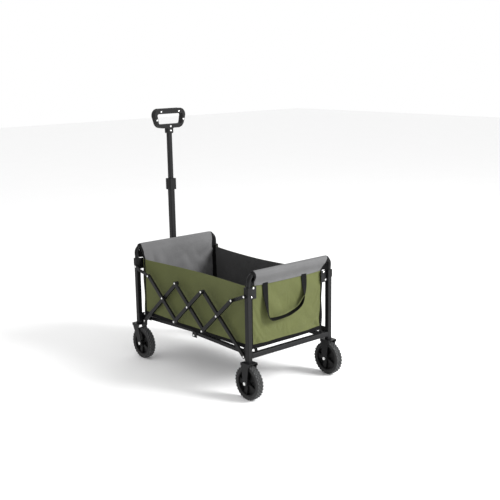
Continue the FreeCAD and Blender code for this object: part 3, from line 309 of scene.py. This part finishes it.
def grid(name, columns, rows, point, size):
    """A sheet from point(u, v), u and v from 0 to 1. Its cloth map is laid out flat over size."""
    verts = [point(u / columns, v / rows) for v in range(rows + 1) for u in range(columns + 1)]
    faces = []
    for v in range(rows):
        for u in range(columns):
            first = v * (columns + 1) + u
            faces.append((first, first + 1, first + columns + 2, first + columns + 1))
    mesh = bpy.data.meshes.new(name)
    mesh.from_pydata(verts, [], faces)
    laid = mesh.uv_layers.new(name="cloth")
    for loop in mesh.loops:
        v, u = divmod(loop.vertex_index, columns + 1)
        laid.data[loop.index].uv = (u / columns * size[0], v / rows * size[1])
    for face in mesh.polygons:
        face.use_smooth = True
    piece = link(name, mesh)
    piece["columns"], piece["rows"] = columns, rows
    return piece


def simulate(piece, pinned, slack, cap, gravity, away):
    """Drapes a sheet with its pinned points held. It moves no further than cap, and only away."""
    scene = bpy.context.scene
    held = piece.vertex_groups.new(name="held")
    for index, weight in pinned.items():
        held.add([index], weight, "REPLACE")
    cloth = piece.modifiers.new("cloth", "CLOTH")
    settings = cloth.settings
    settings.quality = 7
    settings.mass = 0.25
    settings.tension_stiffness = 25
    settings.compression_stiffness = 25
    settings.shear_stiffness = 8
    settings.bending_stiffness = 0.4
    settings.air_damping = 4
    settings.vertex_group_mass = "held"
    settings.shrink_min = -slack
    settings.effector_weights.gravity = gravity
    cloth.point_cache.frame_start = 1
    cloth.point_cache.frame_end = SIM_FRAMES
    for step in range(1, SIM_FRAMES + 1):
        scene.frame_set(step)
    moved = piece.evaluated_get(bpy.context.evaluated_depsgraph_get()).data
    for vertex, draped in zip(piece.data.vertices, moved.vertices):
        shift = draped.co - vertex.co
        if shift.dot(away) < 0:
            shift -= away * shift.dot(away)
        if shift.length > 1e-9:
            vertex.co += shift * (cap * math.tanh(shift.length / cap) / shift.length)
    piece.modifiers.remove(cloth)
    piece.vertex_groups.remove(held)
    scene.frame_set(1)


def edge_points(piece, top=True):
    """The indices of a grid's border points, all fully held. The top row may be left free."""
    columns, rows = piece["columns"], piece["rows"]
    held = {}
    for v in range(rows + 1):
        for u in range(columns + 1):
            if u in (0, columns) or v == 0 or (top and v == rows):
                held[v * (columns + 1) + u] = 1.0
    return held


def binding(piece, name, first, last, low, high):
    """A tape over a grid's columns first..last and rows low..high, so that it follows the cloth."""
    columns, points = piece["columns"], piece.data.vertices
    wide, tall = last - first, high - low

    def spot(column, row):
        return points[row * (columns + 1) + column].co

    def point(u, v):
        return spot(first + round(u * wide), low + round(v * tall))

    corner = spot(first, low)
    size = ((spot(last, low) - corner).length, (spot(first, high) - corner).length)
    strip = grid(name, wide, tall, point, size)
    return thicken(strip, BINDING, "webbing")


def thicken(piece, thick, paint, inner=None, rim=None):
    """Gives a sheet its thickness and its paints outside, inside and along its rim."""
    for slot in (paint, inner or paint, rim or inner or paint):
        piece.data.materials.append(PAINTS[slot])
    shell = piece.modifiers.new("shell", "SOLIDIFY")
    shell.thickness = thick
    shell.offset = 0.0
    shell.use_even_offset = True
    shell.material_offset = 1
    shell.material_offset_rim = 2
    round_edge = piece.modifiers.new("edge", "BEVEL")
    round_edge.width = min(0.0005, thick / 4)
    round_edge.segments = 2
    round_edge.angle_limit = math.radians(60)
    return applied(piece)


def applied(piece):
    """Applies every modifier of a piece to its mesh."""
    seen = piece.evaluated_get(bpy.context.evaluated_depsgraph_get())
    mesh = bpy.data.meshes.new_from_object(seen)
    piece.modifiers.clear()
    piece.data = mesh
    for face in mesh.polygons:
        face.use_smooth = True
    return piece


def ripple(x, y, z, scale, size):
    """Smooth unevenness of a given size, with scale waves or so per metre."""
    return noise.noise(Vector((x, y, z)) * scale) * size


# Places from the frame ----------------------------------------------------------------------------

def arch_centre(end):
    """The middle of the arch tube's top run: x and z."""
    low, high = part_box(f"{end}_arch_tube")
    x = low.x + TUBE_RADIUS if end == "rear" else high.x - TUBE_RADIUS
    return x, high.z - TUBE_RADIUS


ARCH = {end: arch_centre(end) for end in ENDS}
BAG_LOW, BAG_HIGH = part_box("bag_side_left")
FLOOR_Z = BAG_LOW.z
SIDE_Y = (BAG_LOW.y + BAG_HIGH.y) / 2
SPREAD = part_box("rear_arch_tube")[1].y - TUBE_RADIUS
BAG_TOP = BAG_HIGH.z + 0.008


def post_line(end):
    """The x of an end frame's posts."""
    low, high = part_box(f"{end}_posts")
    return (low.x + high.x) / 2


def tube_drop(y):
    """How much lower the arch tube's middle is at y, in its bends."""
    into = max(0.0, abs(y) - (SPREAD - ARCH_BEND))
    return ARCH_BEND - math.sqrt(max(0.0, ARCH_BEND**2 - into**2))


# The bag ------------------------------------------------------------------------------------------

def long_side(side, sign):
    """A long wall, pulled in along its free top edge, green outside and dark inside."""
    x0, x1 = BAG_LOW.x - SIDE_REACH, BAG_HIGH.x + SIDE_REACH
    columns, rows = SIDE_GRID

    def point(u, v):
        # The bow is deepest halfway along, and grows towards the top.
        along = 2 * u - 1
        lean = (1 - abs(along) ** 1.6) * v**1.25
        x = x0 + (x1 - x0) * u
        z = FLOOR_Z + (BAG_TOP - TOP_SAG * (1 - along * along) - FLOOR_Z) * v
        y = sign * (SIDE_Y + SIDE_OUT - TOP_BOW * lean)
        wrinkle = ripple(x, y, z, 14.0, 0.0016) * math.sin(math.pi * u) * math.sin(math.pi * min(v, 0.8))
        return x, y + wrinkle, z

    flat = (x1 - x0, BAG_TOP - FLOOR_Z)
    wall = grid(f"bag_side_{side}_cloth", columns, rows, point, flat)
    if sign > 0:
        wall.data.flip_normals()
    inward = Vector((0, -sign, 0))
    simulate(wall, edge_points(wall, top=False), slack=0.006, cap=0.005, gravity=0.6, away=inward)
    band_rows = round(rows * BAND_TALL / (BAG_TOP - FLOOR_Z))
    band = binding(wall, f"bag_side_{side}_bottom_band", 0, columns, 0, band_rows)
    thicken(wall, SHEET, "green_fabric", "lining_fabric", "green_fabric")
    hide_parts(f"bag_side_{side}")
    for piece in (wall, band):
        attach(piece, "front_frame")
        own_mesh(piece)


def sleeve_profile(end, sign, y):
    """Points of the lining and sleeve in one plane: up the inside, over the tube, down the flap."""
    centre_x, top = ARCH[end]
    centre_z = top - tube_drop(y)
    radius = TUBE_RADIUS + SLEEVE_GAP
    low_out, low_z = -FLAP_IN, FLAP_LOW
    foot = FLOOR_Z + 0.004
    away = math.hypot(low_out, low_z - centre_z)
    leave = math.atan2(low_z - centre_z, low_out) + math.acos(radius / away)
    points = []
    for step in range(LINING_ROWS):
        share = step / LINING_ROWS
        inner = WALL_IN + LINING_GAP + (radius - WALL_IN - LINING_GAP) * share**16
        points.append((-inner, foot + (centre_z - foot) * share))
    for step in range(OVER_ROWS + 1):
        turn = math.pi + (leave - math.pi) * step / OVER_ROWS
        points.append((radius * math.cos(turn), centre_z + radius * math.sin(turn)))
    start = points[-1]
    for step in range(1, FLAP_ROWS + 1):
        share = step / FLAP_ROWS
        belly = 0.0030 * math.sin(2 * math.pi * share**0.8)
        out = start[0] + (low_out - start[0]) * share + belly
        points.append((out, start[1] + (low_z - start[1]) * share))
    return [(centre_x + sign * out, z) for out, z in points]


def sleeve_half(row, rows):
    """Half the width of an end's lining and sleeve at one row. The sleeve is wider than the lining."""
    if row <= WIDEN_ROW:
        return LINING_HALF
    if row < LINING_ROWS:
        share = (row - WIDEN_ROW) / (LINING_ROWS - WIDEN_ROW)
        return LINING_HALF + (SLEEVE_TOP_HALF - LINING_HALF) * share
    if row <= NARROW_ROW:
        return SLEEVE_TOP_HALF
    share = (row - NARROW_ROW) / (rows - NARROW_ROW)
    return SLEEVE_TOP_HALF + (SLEEVE_LOW_HALF - SLEEVE_TOP_HALF) * share


def lining_drape(sign, row, y, z):
    """How far the lining stands out: the end wall's drape less folds that fade near the floor."""
    fade = math.cos(math.pi / 2 * (row / LINING_ROWS) ** 4)
    low = min(1.0, max(0.0, (z - FLOOR_Z - 0.05) / 0.10))
    fold = abs(ripple(y + z, z - y, 0.4 * sign, 10.0, 0.012)) * low
    return (end_drape(sign, y, z) - fold) * fade


def sleeve(end, sign):
    """The grey lining of an end and its sleeve over the arch tube, one piece of cloth."""
    columns, rows = SLEEVE_COLUMNS, LINING_ROWS + OVER_ROWS + FLAP_ROWS

    def point(u, v):
        row = round(v * rows)
        y = (2 * u - 1) * sleeve_half(row, rows)
        x, z = sleeve_profile(end, sign, y)[row]
        if row < LINING_ROWS:
            x += sign * lining_drape(sign, row, y, z)
        if row > DRAPE_ROW:
            x += sign * max(0.0, end_drape(sign, y, z)) * (row - DRAPE_ROW) / (rows - DRAPE_ROW)
        return x, y, z

    top = ARCH[end][1]
    tall = top - FLOOR_Z + math.pi * TUBE_RADIUS + (top - FLAP_LOW)
    flat = (2 * SLEEVE_TOP_HALF, tall)
    cloth = grid(f"bag_{end}_sleeve", columns, rows, point, flat)
    if sign < 0:
        cloth.data.flip_normals()
    held = edge_points(cloth, top=False)
    for row in range(LINING_ROWS - 1, LINING_ROWS + OVER_ROWS + 2):
        for u in range(columns + 1):
            held[row * (columns + 1) + u] = 1.0
    simulate(cloth, held, slack=0.008, cap=0.006, gravity=0.5, away=Vector((-sign, 0, 0)))
    pieces = [cloth]
    for number, first in enumerate((0, columns - 2)):
        name = f"bag_{end}_sleeve_binding_{number + 1}"
        pieces.append(binding(cloth, name, first, first + 2, TAPE_ROW, rows))
    thicken(cloth, SHEET, "grey_fabric")
    for piece in pieces:
        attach(piece, f"{end}_frame")


def wall_edge(across, v):
    """Sideways place on an end wall. The cloth hangs slightly slack on its right edge."""
    slack = 0.004 + 0.007 * (1 - v) if across < 0 else -0.002
    return across * (PANEL_HALF - slack)


def hump(share):
    """A smooth rise and fall, from 0 at a share of 0 to 1 halfway and back to 0 at 1."""
    return max(0.0, math.sin(math.pi * min(1.0, max(0.0, share))))


def corner_creases(y, z):
    """Creases that fan out of the two lower corners and fade away from them."""
    size, rays, reach, start = 0.0040, 9.0, 0.07, 0.02
    total = 0.0
    for corner in (-1, 1):
        across, up = PANEL_HALF - corner * y, z - FLOOR_Z
        away = math.hypot(across, up)
        fade = math.exp(-away / reach) * min(1.0, away / start)
        total += size * math.sin(math.atan2(up, across) * rays + corner) * fade
    return total


def end_drape(sign, y, z):
    """How far the cloth of an end stands out at one place: soft folds and creased lower corners."""
    inside = hump((y / PANEL_HALF + 1) / 2) * hump((z - FLOOR_Z) / (WALL_TOP - FLOOR_Z))
    crease = 1.3 * corner_creases(y, z) * min(1.0, inside * 12)
    belly = 0.003 * inside
    wide = ripple(y + 0.5 * z, z, 0.5 * sign, 8.0, 0.013)
    fine = ripple(y - 0.8 * z, 0.4 * z, sign, 17.0, 0.006)
    return crease + belly + (wide + fine) * inside**0.5


def end_wall(end, sign):
    """The green outer wall of an end, with creases that run out of its lower corners."""
    wall_x = ARCH[end][0] - sign * WALL_IN
    columns, rows = WALL_GRID
    tall = WALL_TOP - FLOOR_Z

    def point(u, v):
        y = wall_edge(2 * u - 1, v)
        z = FLOOR_Z + tall * v
        return wall_x + sign * end_drape(sign, y, z), y, z

    flat = (2 * PANEL_HALF, tall)
    wall = grid(f"bag_{end}_wall", columns, rows, point, flat)
    if sign < 0:
        wall.data.flip_normals()
    outward = Vector((sign, 0, 0))
    simulate(wall, edge_points(wall), slack=0.006, cap=0.005, gravity=0.8, away=outward)
    band = binding(wall, f"bag_{end}_bottom_band", 0, columns, 0, round(rows * BAND_TALL / tall))
    thicken(wall, SHEET, "green_fabric")
    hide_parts(f"bag_{end}_panel")
    for piece in (wall, band):
        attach(piece, f"{end}_frame")


def trim(piece, thick, end):
    """Finishes a small piece of black tape that moves with an end frame."""
    thicken(piece, thick, "webbing")
    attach(piece, f"{end}_frame")


def corner_tape(end, sign, side, way):
    """The black tape that joins an end wall to a long wall, round the bag's upright corner."""
    wall_x = ARCH[end][0] - sign * (WALL_IN - 0.0012)
    side_x = (BAG_LOW.x if end == "rear" else BAG_HIGH.x) - sign * 0.009
    side_y = way * (SIDE_Y + 0.0012)
    tall = BAG_TOP + 0.002 - FLOOR_Z

    def point(u, v):
        start = Vector((wall_x, wall_edge(way, v) - way * 0.003))
        bend = Vector((wall_x + sign * 0.001, side_y - way * 0.002))
        flat = start * (1 - u) ** 2 + bend * 2 * u * (1 - u) + Vector((side_x, side_y)) * u**2
        pinch = 0.0025 * math.sin(v * 11.0 + way) * math.sin(math.pi * u)
        return flat.x + sign * pinch, flat.y, FLOOR_Z + tall * v

    tape = grid(f"bag_{end}_{side}_corner", 12, 50, point, (0.03, tall))
    trim(tape, CORNER_TAPE, end)


def gusset(end, sign, side, way):
    """The black corner cloth between the sleeve's slanted edge and the arch's bend."""
    x, top = ARCH[end]
    low, high = FLAP_LOW + 0.001, top - 0.020
    bend_z = top - ARCH_BEND
    inner_bend = ARCH_BEND - TUBE_RADIUS - 0.0014
    stand = WALL_IN - 0.0045
    near_low, near_spread = 0.190, 0.012

    def point(u, v):
        z = low + (high - low) * v
        rise = max(0.0, z - bend_z)
        far = SPREAD - ARCH_BEND + math.sqrt(inner_bend**2 - rise**2)
        near = near_low + near_spread * v
        return x - sign * stand * (1 - u * u), way * (near + (far - near) * u), z

    patch = grid(f"bag_{end}_{side}_gusset", 10, 20, point, (0.032, high - low))
    trim(patch, GUSSET_CLOTH, end)


def tab(end, sign, side, way):
    """A short tape that holds a lower corner of the bag down to the cross tube."""
    x = ARCH[end][0] - sign * (WALL_IN - 0.002)
    top, drop, reach = FLOOR_Z + 0.010, 0.017, 0.011
    near, width, slant = 0.180, 0.016, 0.008

    def point(u, v):
        return x + sign * reach * v * v, way * (near + width * u + slant * v), top - drop * v

    strip = grid(f"bag_{end}_{side}_tab", 4, 8, point, (width, 0.022))
    trim(strip, TAB_TAPE, end)


def floor_sheet(name, body, x0, x1, y0, y1):
    """A flat piece of the bag's dark floor cloth on one moving body."""
    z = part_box("bag_floor")[0].z + FLOOR_LIFT
    flat = (abs(x1 - x0), y1 - y0)
    columns, rows = (max(4, round(length / FLOOR_CELL)) for length in flat)

    def point(u, v):
        x, y = x0 + (x1 - x0) * u, y0 + (y1 - y0) * v
        return x, y, z + ripple(x, y, 0.0, 12.0, 0.0006) * math.sin(math.pi * u) * math.sin(math.pi * v)

    cloth = grid(name, columns, rows, point, flat)
    thicken(cloth, SHEET, "lining_fabric")
    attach(cloth, body)
    return cloth


def bag_floor(end, sign):
    """Half of the floor cloth. Its middle lifts with the floor bars, its rim stays on the end frame."""
    overlap = 0.0003
    middle = (post_line("front") + post_line("rear")) / 2
    bend = post_line(end) - sign * FLOOR_BEND_IN
    half = BAG_HIGH.y - FLOOR_MARGIN
    lifted = floor_sheet(f"floor_cloth_{end}", f"floor_{end}", bend, middle - sign * overlap, -half, half)
    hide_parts("bag_floor")
    floor_rim(end, sign, bend, half)


def floor_rim(end, sign, bend, half):
    """The floor cloth's fixed rim: between the floor bars, and beside them where there is room."""
    bar_width = 0.0205
    play = 0.002
    least = 0.010
    wall = post_line(end) - sign * FLOOR_END_IN
    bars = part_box(f"floor_bars_{end}")[1].y
    strips = {f"floor_rim_{end}": (bar_width - bars, bars - bar_width)}
    if half - bars > least:
        for way in (-1, 1):
            strips[f"floor_rim_{end}_{way + 1}"] = sorted((way * (bars + play), way * half))
    for name, (near, far) in strips.items():
        floor_sheet(name, f"{end}_frame", bend, wall, near, far)


def mat_height(u, v, length, seed):
    """The cover's share of its full height. It pulls down at its rim and at its panels' seam."""
    rim = min(u, 1 - u) * length
    side = min(v, 1 - v) * 2 * MAT_HALF
    seam = abs(u - 0.5) * length
    soft = [1 - math.exp(-distance / 0.006) for distance in (rim, side, seam)]
    puff = soft[0] * soft[1] * (0.35 + 0.65 * soft[2])
    return max(0.0, puff + 0.08 * noise.noise(Vector((u * 6, v * 8, seed))))


def close_below(mesh, z):
    """Brings a sheet's border straight down to z, and closes it with a flat bottom."""
    form = bmesh.new()
    form.from_mesh(mesh)
    rim = [edge for edge in form.edges if edge.is_boundary]
    skirt = bmesh.ops.extrude_edge_only(form, edges=rim)["geom"]
    for item in skirt:
        if isinstance(item, bmesh.types.BMVert):
            item.co.z = z
    bottom = [item for item in skirt if isinstance(item, bmesh.types.BMEdge) and item.is_boundary]
    bmesh.ops.contextual_create(form, geom=bottom)
    bmesh.ops.recalc_face_normals(form, faces=form.faces)
    form.to_mesh(mesh)
    form.free()


def mat_half(end, sign):
    """Half of the folding floor board: two stiff panels in a sewn cover, hinged by the cloth."""
    low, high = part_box("floor_mat")
    middle = (low.x + high.x) / 2
    end_x = post_line(end) - sign * MAT_END_IN
    gap = 0.002
    bottom, top = low.z + 0.0002, high.z - 0.0008
    foot, rise = bottom + 0.0012, top - bottom - 0.0014
    columns, rows = MAT_GRID
    length = abs(end_x - middle) - gap

    def point(u, v):
        x = middle + sign * (gap + length * u)
        y = (2 * v - 1) * MAT_HALF
        return x, y, foot + rise * mat_height(u, v, length, sign)

    cover = grid(f"floor_mat_{end}", columns, rows, point, (length, 2 * MAT_HALF))
    if sign < 0:
        cover.data.flip_normals()
    close_below(cover.data, bottom)
    cover.data.materials.append(PAINTS["lining_fabric"])
    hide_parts("floor_mat")
    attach(cover, f"floor_{end}")


# The carry strap ----------------------------------------------------------------------------------

def smooth_path(points, steps):
    """Points along a curve through the given ones, evenly shared out between them."""
    line = []
    last = len(points) - 1
    for index in range(last):
        before, a = points[max(index - 1, 0)], points[index]
        b, after = points[index + 1], points[min(index + 2, last)]
        for step in range(steps):
            t = step / steps
            square = 2 * before - 5 * a + 4 * b - after
            cube = 3 * a - before - 3 * b + after
            line.append(0.5 * (2 * a + (b - before) * t + square * t * t + cube * t**3))
    return line + [points[-1]]


def carry_strap():
    """A loop of webbing sewn under the rear flap. It hangs and twists away from the wall."""
    low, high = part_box("carry_strap")
    width, thick = 0.030, 0.0018
    wall = ARCH["rear"][0] + WALL_IN - 0.004
    left, right = high.y - width / 2, low.y + width / 2
    top, bottom = FLAP_LOW + 0.006, low.z + 0.017
    # Along the loop: sideways place, height, distance from the wall, twist of the tape in degrees.
    route = [
        (left, top, 0.0012, 0),
        (left, top - 0.045, 0.0030, -4),
        (left - 0.001, top - 0.090, 0.009, -22),
        (left - 0.003, top - 0.130, 0.015, -40),
        (left - 0.010, bottom + 0.012, 0.017, -56),
        (left - 0.026, bottom + 0.001, 0.017, -80),
        (left - 0.080, bottom, 0.017, -90),
        (left - 0.130, bottom + 0.006, 0.017, -95),
        (right + 0.042, bottom + 0.026, 0.017, -106),
        (right + 0.016, bottom + 0.054, 0.016, -122),
        (right + 0.003, bottom + 0.082, 0.010, -152),
        (right, top - 0.040, 0.0036, -178),
        (right, top, 0.0012, -180),
    ]
    spots = smooth_path([Vector((wall - out, y, z, turn)) for y, z, out, turn in route], 9)
    rows = len(spots) - 1
    length = sum((Vector(b[:3]) - Vector(a[:3])).length for a, b in zip(spots, spots[1:]))

    def point(u, v):
        row = round(v * rows)
        here = spots[row]
        ahead, behind = spots[min(row + 1, rows)], spots[max(row - 1, 0)]
        run = Vector((0.0, ahead[1] - behind[1], ahead[2] - behind[2])).normalized()
        flat = Vector((0.0, run.z, -run.y))
        turn = math.radians(here[3])
        across = flat * math.cos(turn) + Vector((-1, 0, 0)) * math.sin(turn)
        return Vector(here[:3]) + across * (u - 0.5) * width

    strap = grid("carry_strap_webbing", 6, rows, point, (width, length))
    thicken(strap, thick, "webbing")
    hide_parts("carry_strap")
    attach(strap, "rear_frame")


# Tyres --------------------------------------------------------------------------------------------

TYRE_SECTION = [
    # sideways from the middle, radius, as shares of half the width and of the outer radius
    (0.86, 0.760), (0.92, 0.800), (1.00, 0.860), (0.98, 0.905), (0.90, 0.935), (0.72, 0.950), (0.36, 0.957),
    (0.0, 0.958),
]
TYRE_TURNS = 96
TREAD_FROM = 0.93
LUG_ROWS = (-0.74, -0.38, 0.0, 0.38, 0.74)
LUGS = 30
# Half a lug's length round the tyre and the skew of its sides, in radians, and half its width as a
# share of half the tyre's.
LUG_ANGLE = 0.062
LUG_SKEW = 0.012
LUG_WIDTH = 0.160


def tyre(end, side):
    """A foam tyre: a rounded section turned about its axle, with five staggered rows of lugs."""
    node = f"tyre_{end}_{side}"
    low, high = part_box(node)
    centre = (low + high) / 2
    radius, half = (high.z - low.z) / 2, (high.y - low.y) / 2
    form = bmesh.new()
    tread = form.verts.layers.float.new("tread")
    carcass(form, centre, radius, half, tread)
    for row, across in enumerate(LUG_ROWS):
        for number in range(LUGS):
            turn = 2 * math.pi * (number + 0.5 * (row % 2)) / LUGS
            lug(form, centre, radius, half, turn, across, tread)
    bmesh.ops.recalc_face_normals(form, faces=form.faces)
    mesh = bpy.data.meshes.new(node + "_treaded")
    form.to_mesh(mesh)
    form.free()
    mesh.materials.append(PAINTS["tyre_rubber"])
    piece = link(node + "_treaded", mesh)
    for face in mesh.polygons:
        face.use_smooth = True
    mesh.set_sharp_from_angle(angle=math.radians(40))
    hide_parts(node)
    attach(piece, f"wheel_{end}_{side}")


def carcass(form, centre, radius, half, tread):
    """The tyre's rounded body. Its tread value is low between the lugs and nought on the walls."""
    section = [(-s, r) for s, r in TYRE_SECTION[:-1]] + TYRE_SECTION[::-1]
    rings = []
    for step in range(TYRE_TURNS):
        turn = 2 * math.pi * step / TYRE_TURNS
        way = Vector((math.cos(turn), 0.0, math.sin(turn))) * radius
        ring = [form.verts.new(centre + way * r + Vector((0.0, s * half, 0.0))) for s, r in section]
        rings.append(ring)
        for vertex, (s, r) in zip(ring, section):
            vertex[tread] = 0.25 if abs(s) < 0.95 and r > TREAD_FROM else 0.0
    total = len(section)
    for step in range(TYRE_TURNS):
        here, there = rings[step], rings[(step + 1) % TYRE_TURNS]
        for index in range(total):
            after = (index + 1) % total
            form.faces.new((here[index], here[after], there[after], there[index]))


def lug(form, centre, radius, half, turn, across, tread):
    """One tread block: wide at its root and narrower on top, skewed like a chevron."""
    drop = 0.012 * abs(across) ** 2
    foot, crown = radius * (0.960 - drop * 2), radius * (1.0 - drop * 2.2)
    corners = []
    for level, share in ((foot, 1.0), (crown, 0.72)):
        for s, t in ((-1, -1), (1, -1), (1, 1), (-1, 1)):
            skew = LUG_SKEW * s * (1 if across >= 0 else -1)
            angle = turn + t * share * LUG_ANGLE + skew
            x, z = centre.x + level * math.cos(angle), centre.z + level * math.sin(angle)
            corner = form.verts.new((x, centre.y + half * (across + s * share * LUG_WIDTH), z))
            corner[tread] = 1.0
            corners.append(corner)
    for face in ((3, 2, 1, 0), (4, 5, 6, 7), (0, 1, 5, 4), (1, 2, 6, 5), (2, 3, 7, 6), (3, 0, 4, 7)):
        form.faces.new([corners[index] for index in face])


# Pieces that keep their shape ---------------------------------------------------------------------

def soften(node, width, segments=2):
    """Breaks a CAD node's sharp edges, as a tool or a mould does."""
    piece = frame["nodes"][node]
    edge = piece.modifiers.new("edges", "BEVEL")
    edge.width = width
    edge.segments = segments
    edge.angle_limit = math.radians(50)
    edge.harden_normals = True
    return piece


def finish_frame():
    """Paints every CAD node by its slot, and breaks the edges of those with sharp ones."""
    for row in frame["record"]["subparts"]:
        piece = frame["nodes"][row["node"]]
        piece.data.materials.clear()
        piece.data.materials.append(PAINTS[row["material_slot"]])
    for end in ENDS:
        soften(f"{end}_post_caps", 0.0016, segments=3)
        soften(f"{end}_corner_brackets", 0.0005)
        soften(f"{end}_cross_tube", 0.0004)
        soften(f"link_{end}", 0.0007)
        soften(f"floor_bars_{end}", 0.0007)
        round_grip(f"grip_{end}_shell", ENDS[end])
        for side in SIDES:
            soften(f"hub_{end}_{side}", 0.0010)
            soften(f"{end}_fork_{side}", 0.0007)
    for letter in "abcdef":
        soften(f"strut_{letter}", 0.0012, segments=3)
    soften("floor_cross_tube", 0.0007)
    soften("handle_bracket", 0.0007)
    soften("handle_collar", 0.0022, segments=4)
    soften("release_button", 0.0015, segments=3)


def round_grip(node, outward):
    """Rounds the outer rim of a grip shell, and leaves the split between the shells crisp."""
    piece = frame["nodes"][node]
    rim_depth = 0.0025
    face = max(vertex.co.x * outward for vertex in piece.data.vertices)
    outer = [v.index for v in piece.data.vertices if v.co.x * outward > face - rim_depth]
    rim = piece.vertex_groups.new(name="rim")
    rim.add(outer, 1.0, "REPLACE")
    edge = piece.modifiers.new("rim", "BEVEL")
    edge.limit_method = "VGROUP"
    edge.vertex_group = "rim"
    edge.width = 0.0055
    edge.segments = 4
    edge.harden_normals = True


# Camera, light and floor --------------------------------------------------------------------------

CAMERA_PLACE = (-3.149, 2.6307, 1.4147)
CAMERA_AZIMUTH = 228.9
CAMERA_ELEVATION = 11.94
CAMERA_ROLL = -0.86
CAMERA_LENS = 66.14
CAMERA_SENSOR = 36.0


def camera():
    """The photograph's view: from the rear left, a little above the bag."""
    azimuth, elevation = math.radians(CAMERA_AZIMUTH), math.radians(CAMERA_ELEVATION)
    roll, level = math.radians(CAMERA_ROLL), math.cos(elevation)
    back = Vector((math.sin(azimuth) * level, -math.cos(azimuth) * level, math.sin(elevation)))
    right = Vector((0, 0, 1)).cross(back).normalized()
    up = back.cross(right)
    turned_right = right * math.cos(roll) + up * math.sin(roll)
    turned_up = up * math.cos(roll) - right * math.sin(roll)
    data = bpy.data.cameras.new("camera")
    data.sensor_width = CAMERA_SENSOR
    data.lens = CAMERA_LENS
    eye = bpy.data.objects.new("camera", data)
    turn = Matrix((turned_right, turned_up, back)).transposed()
    eye.matrix_world = Matrix.Translation(CAMERA_PLACE) @ turn.to_4x4()
    bpy.context.scene.collection.objects.link(eye)
    bpy.context.scene.camera = eye


def area_light(name, place, size, power):
    """A square lamp that points at the middle of the bag."""
    target = Vector((0, 0, 0.4))
    data = bpy.data.lights.new(name, "AREA")
    data.shape = "SQUARE"
    data.size = size
    data.energy = power
    lamp = bpy.data.objects.new(name, data)
    lamp.location = place
    lamp.rotation_mode = "QUATERNION"
    lamp.rotation_quaternion = (Vector(place) - target).to_track_quat("Z", "Y")
    bpy.context.scene.collection.objects.link(lamp)


def studio():
    """Even white light all round, a large lamp at the wagon's rear right, and a plain pale floor."""
    world = bpy.data.worlds.new("studio")
    world.use_nodes = True
    backdrop = world.node_tree.nodes["Background"]
    backdrop.inputs["Color"].default_value = (1.0, 1.0, 1.0, 1.0)
    backdrop.inputs["Strength"].default_value = 1.0
    bpy.context.scene.world = world
    bpy.context.scene.view_settings.view_transform = "Standard"
    area_light("key", (-3.4, -1.9, 2.6), 1.6, 260)
    paint = Paint("floor", 0.9)
    tone = paint.ramp(paint.cloud(3.0, 2.0, paint.place()), 0.985, 1.0)
    paint.finish(paint.shaded((0.93, 0.93, 0.93, 1.0), tone))
    side = 30.0
    floor = grid("studio_floor", 4, 4, lambda u, v: ((u - 0.5) * side, (v - 0.5) * side, 0.0), (side, side))
    floor.data.materials.append(paint.material)


camera()
studio()

for side_name, side_sign in SIDES.items():
    long_side(side_name, side_sign)
for end_name, end_sign in ENDS.items():
    end_wall(end_name, end_sign)
    sleeve(end_name, end_sign)
    bag_floor(end_name, end_sign)
    mat_half(end_name, end_sign)
    for side_name, side_sign in SIDES.items():
        corner_tape(end_name, end_sign, side_name, side_sign)
        gusset(end_name, end_sign, side_name, side_sign)
        tab(end_name, end_sign, side_name, side_sign)
        tyre(end_name, side_name)
carry_strap()
finish_frame()
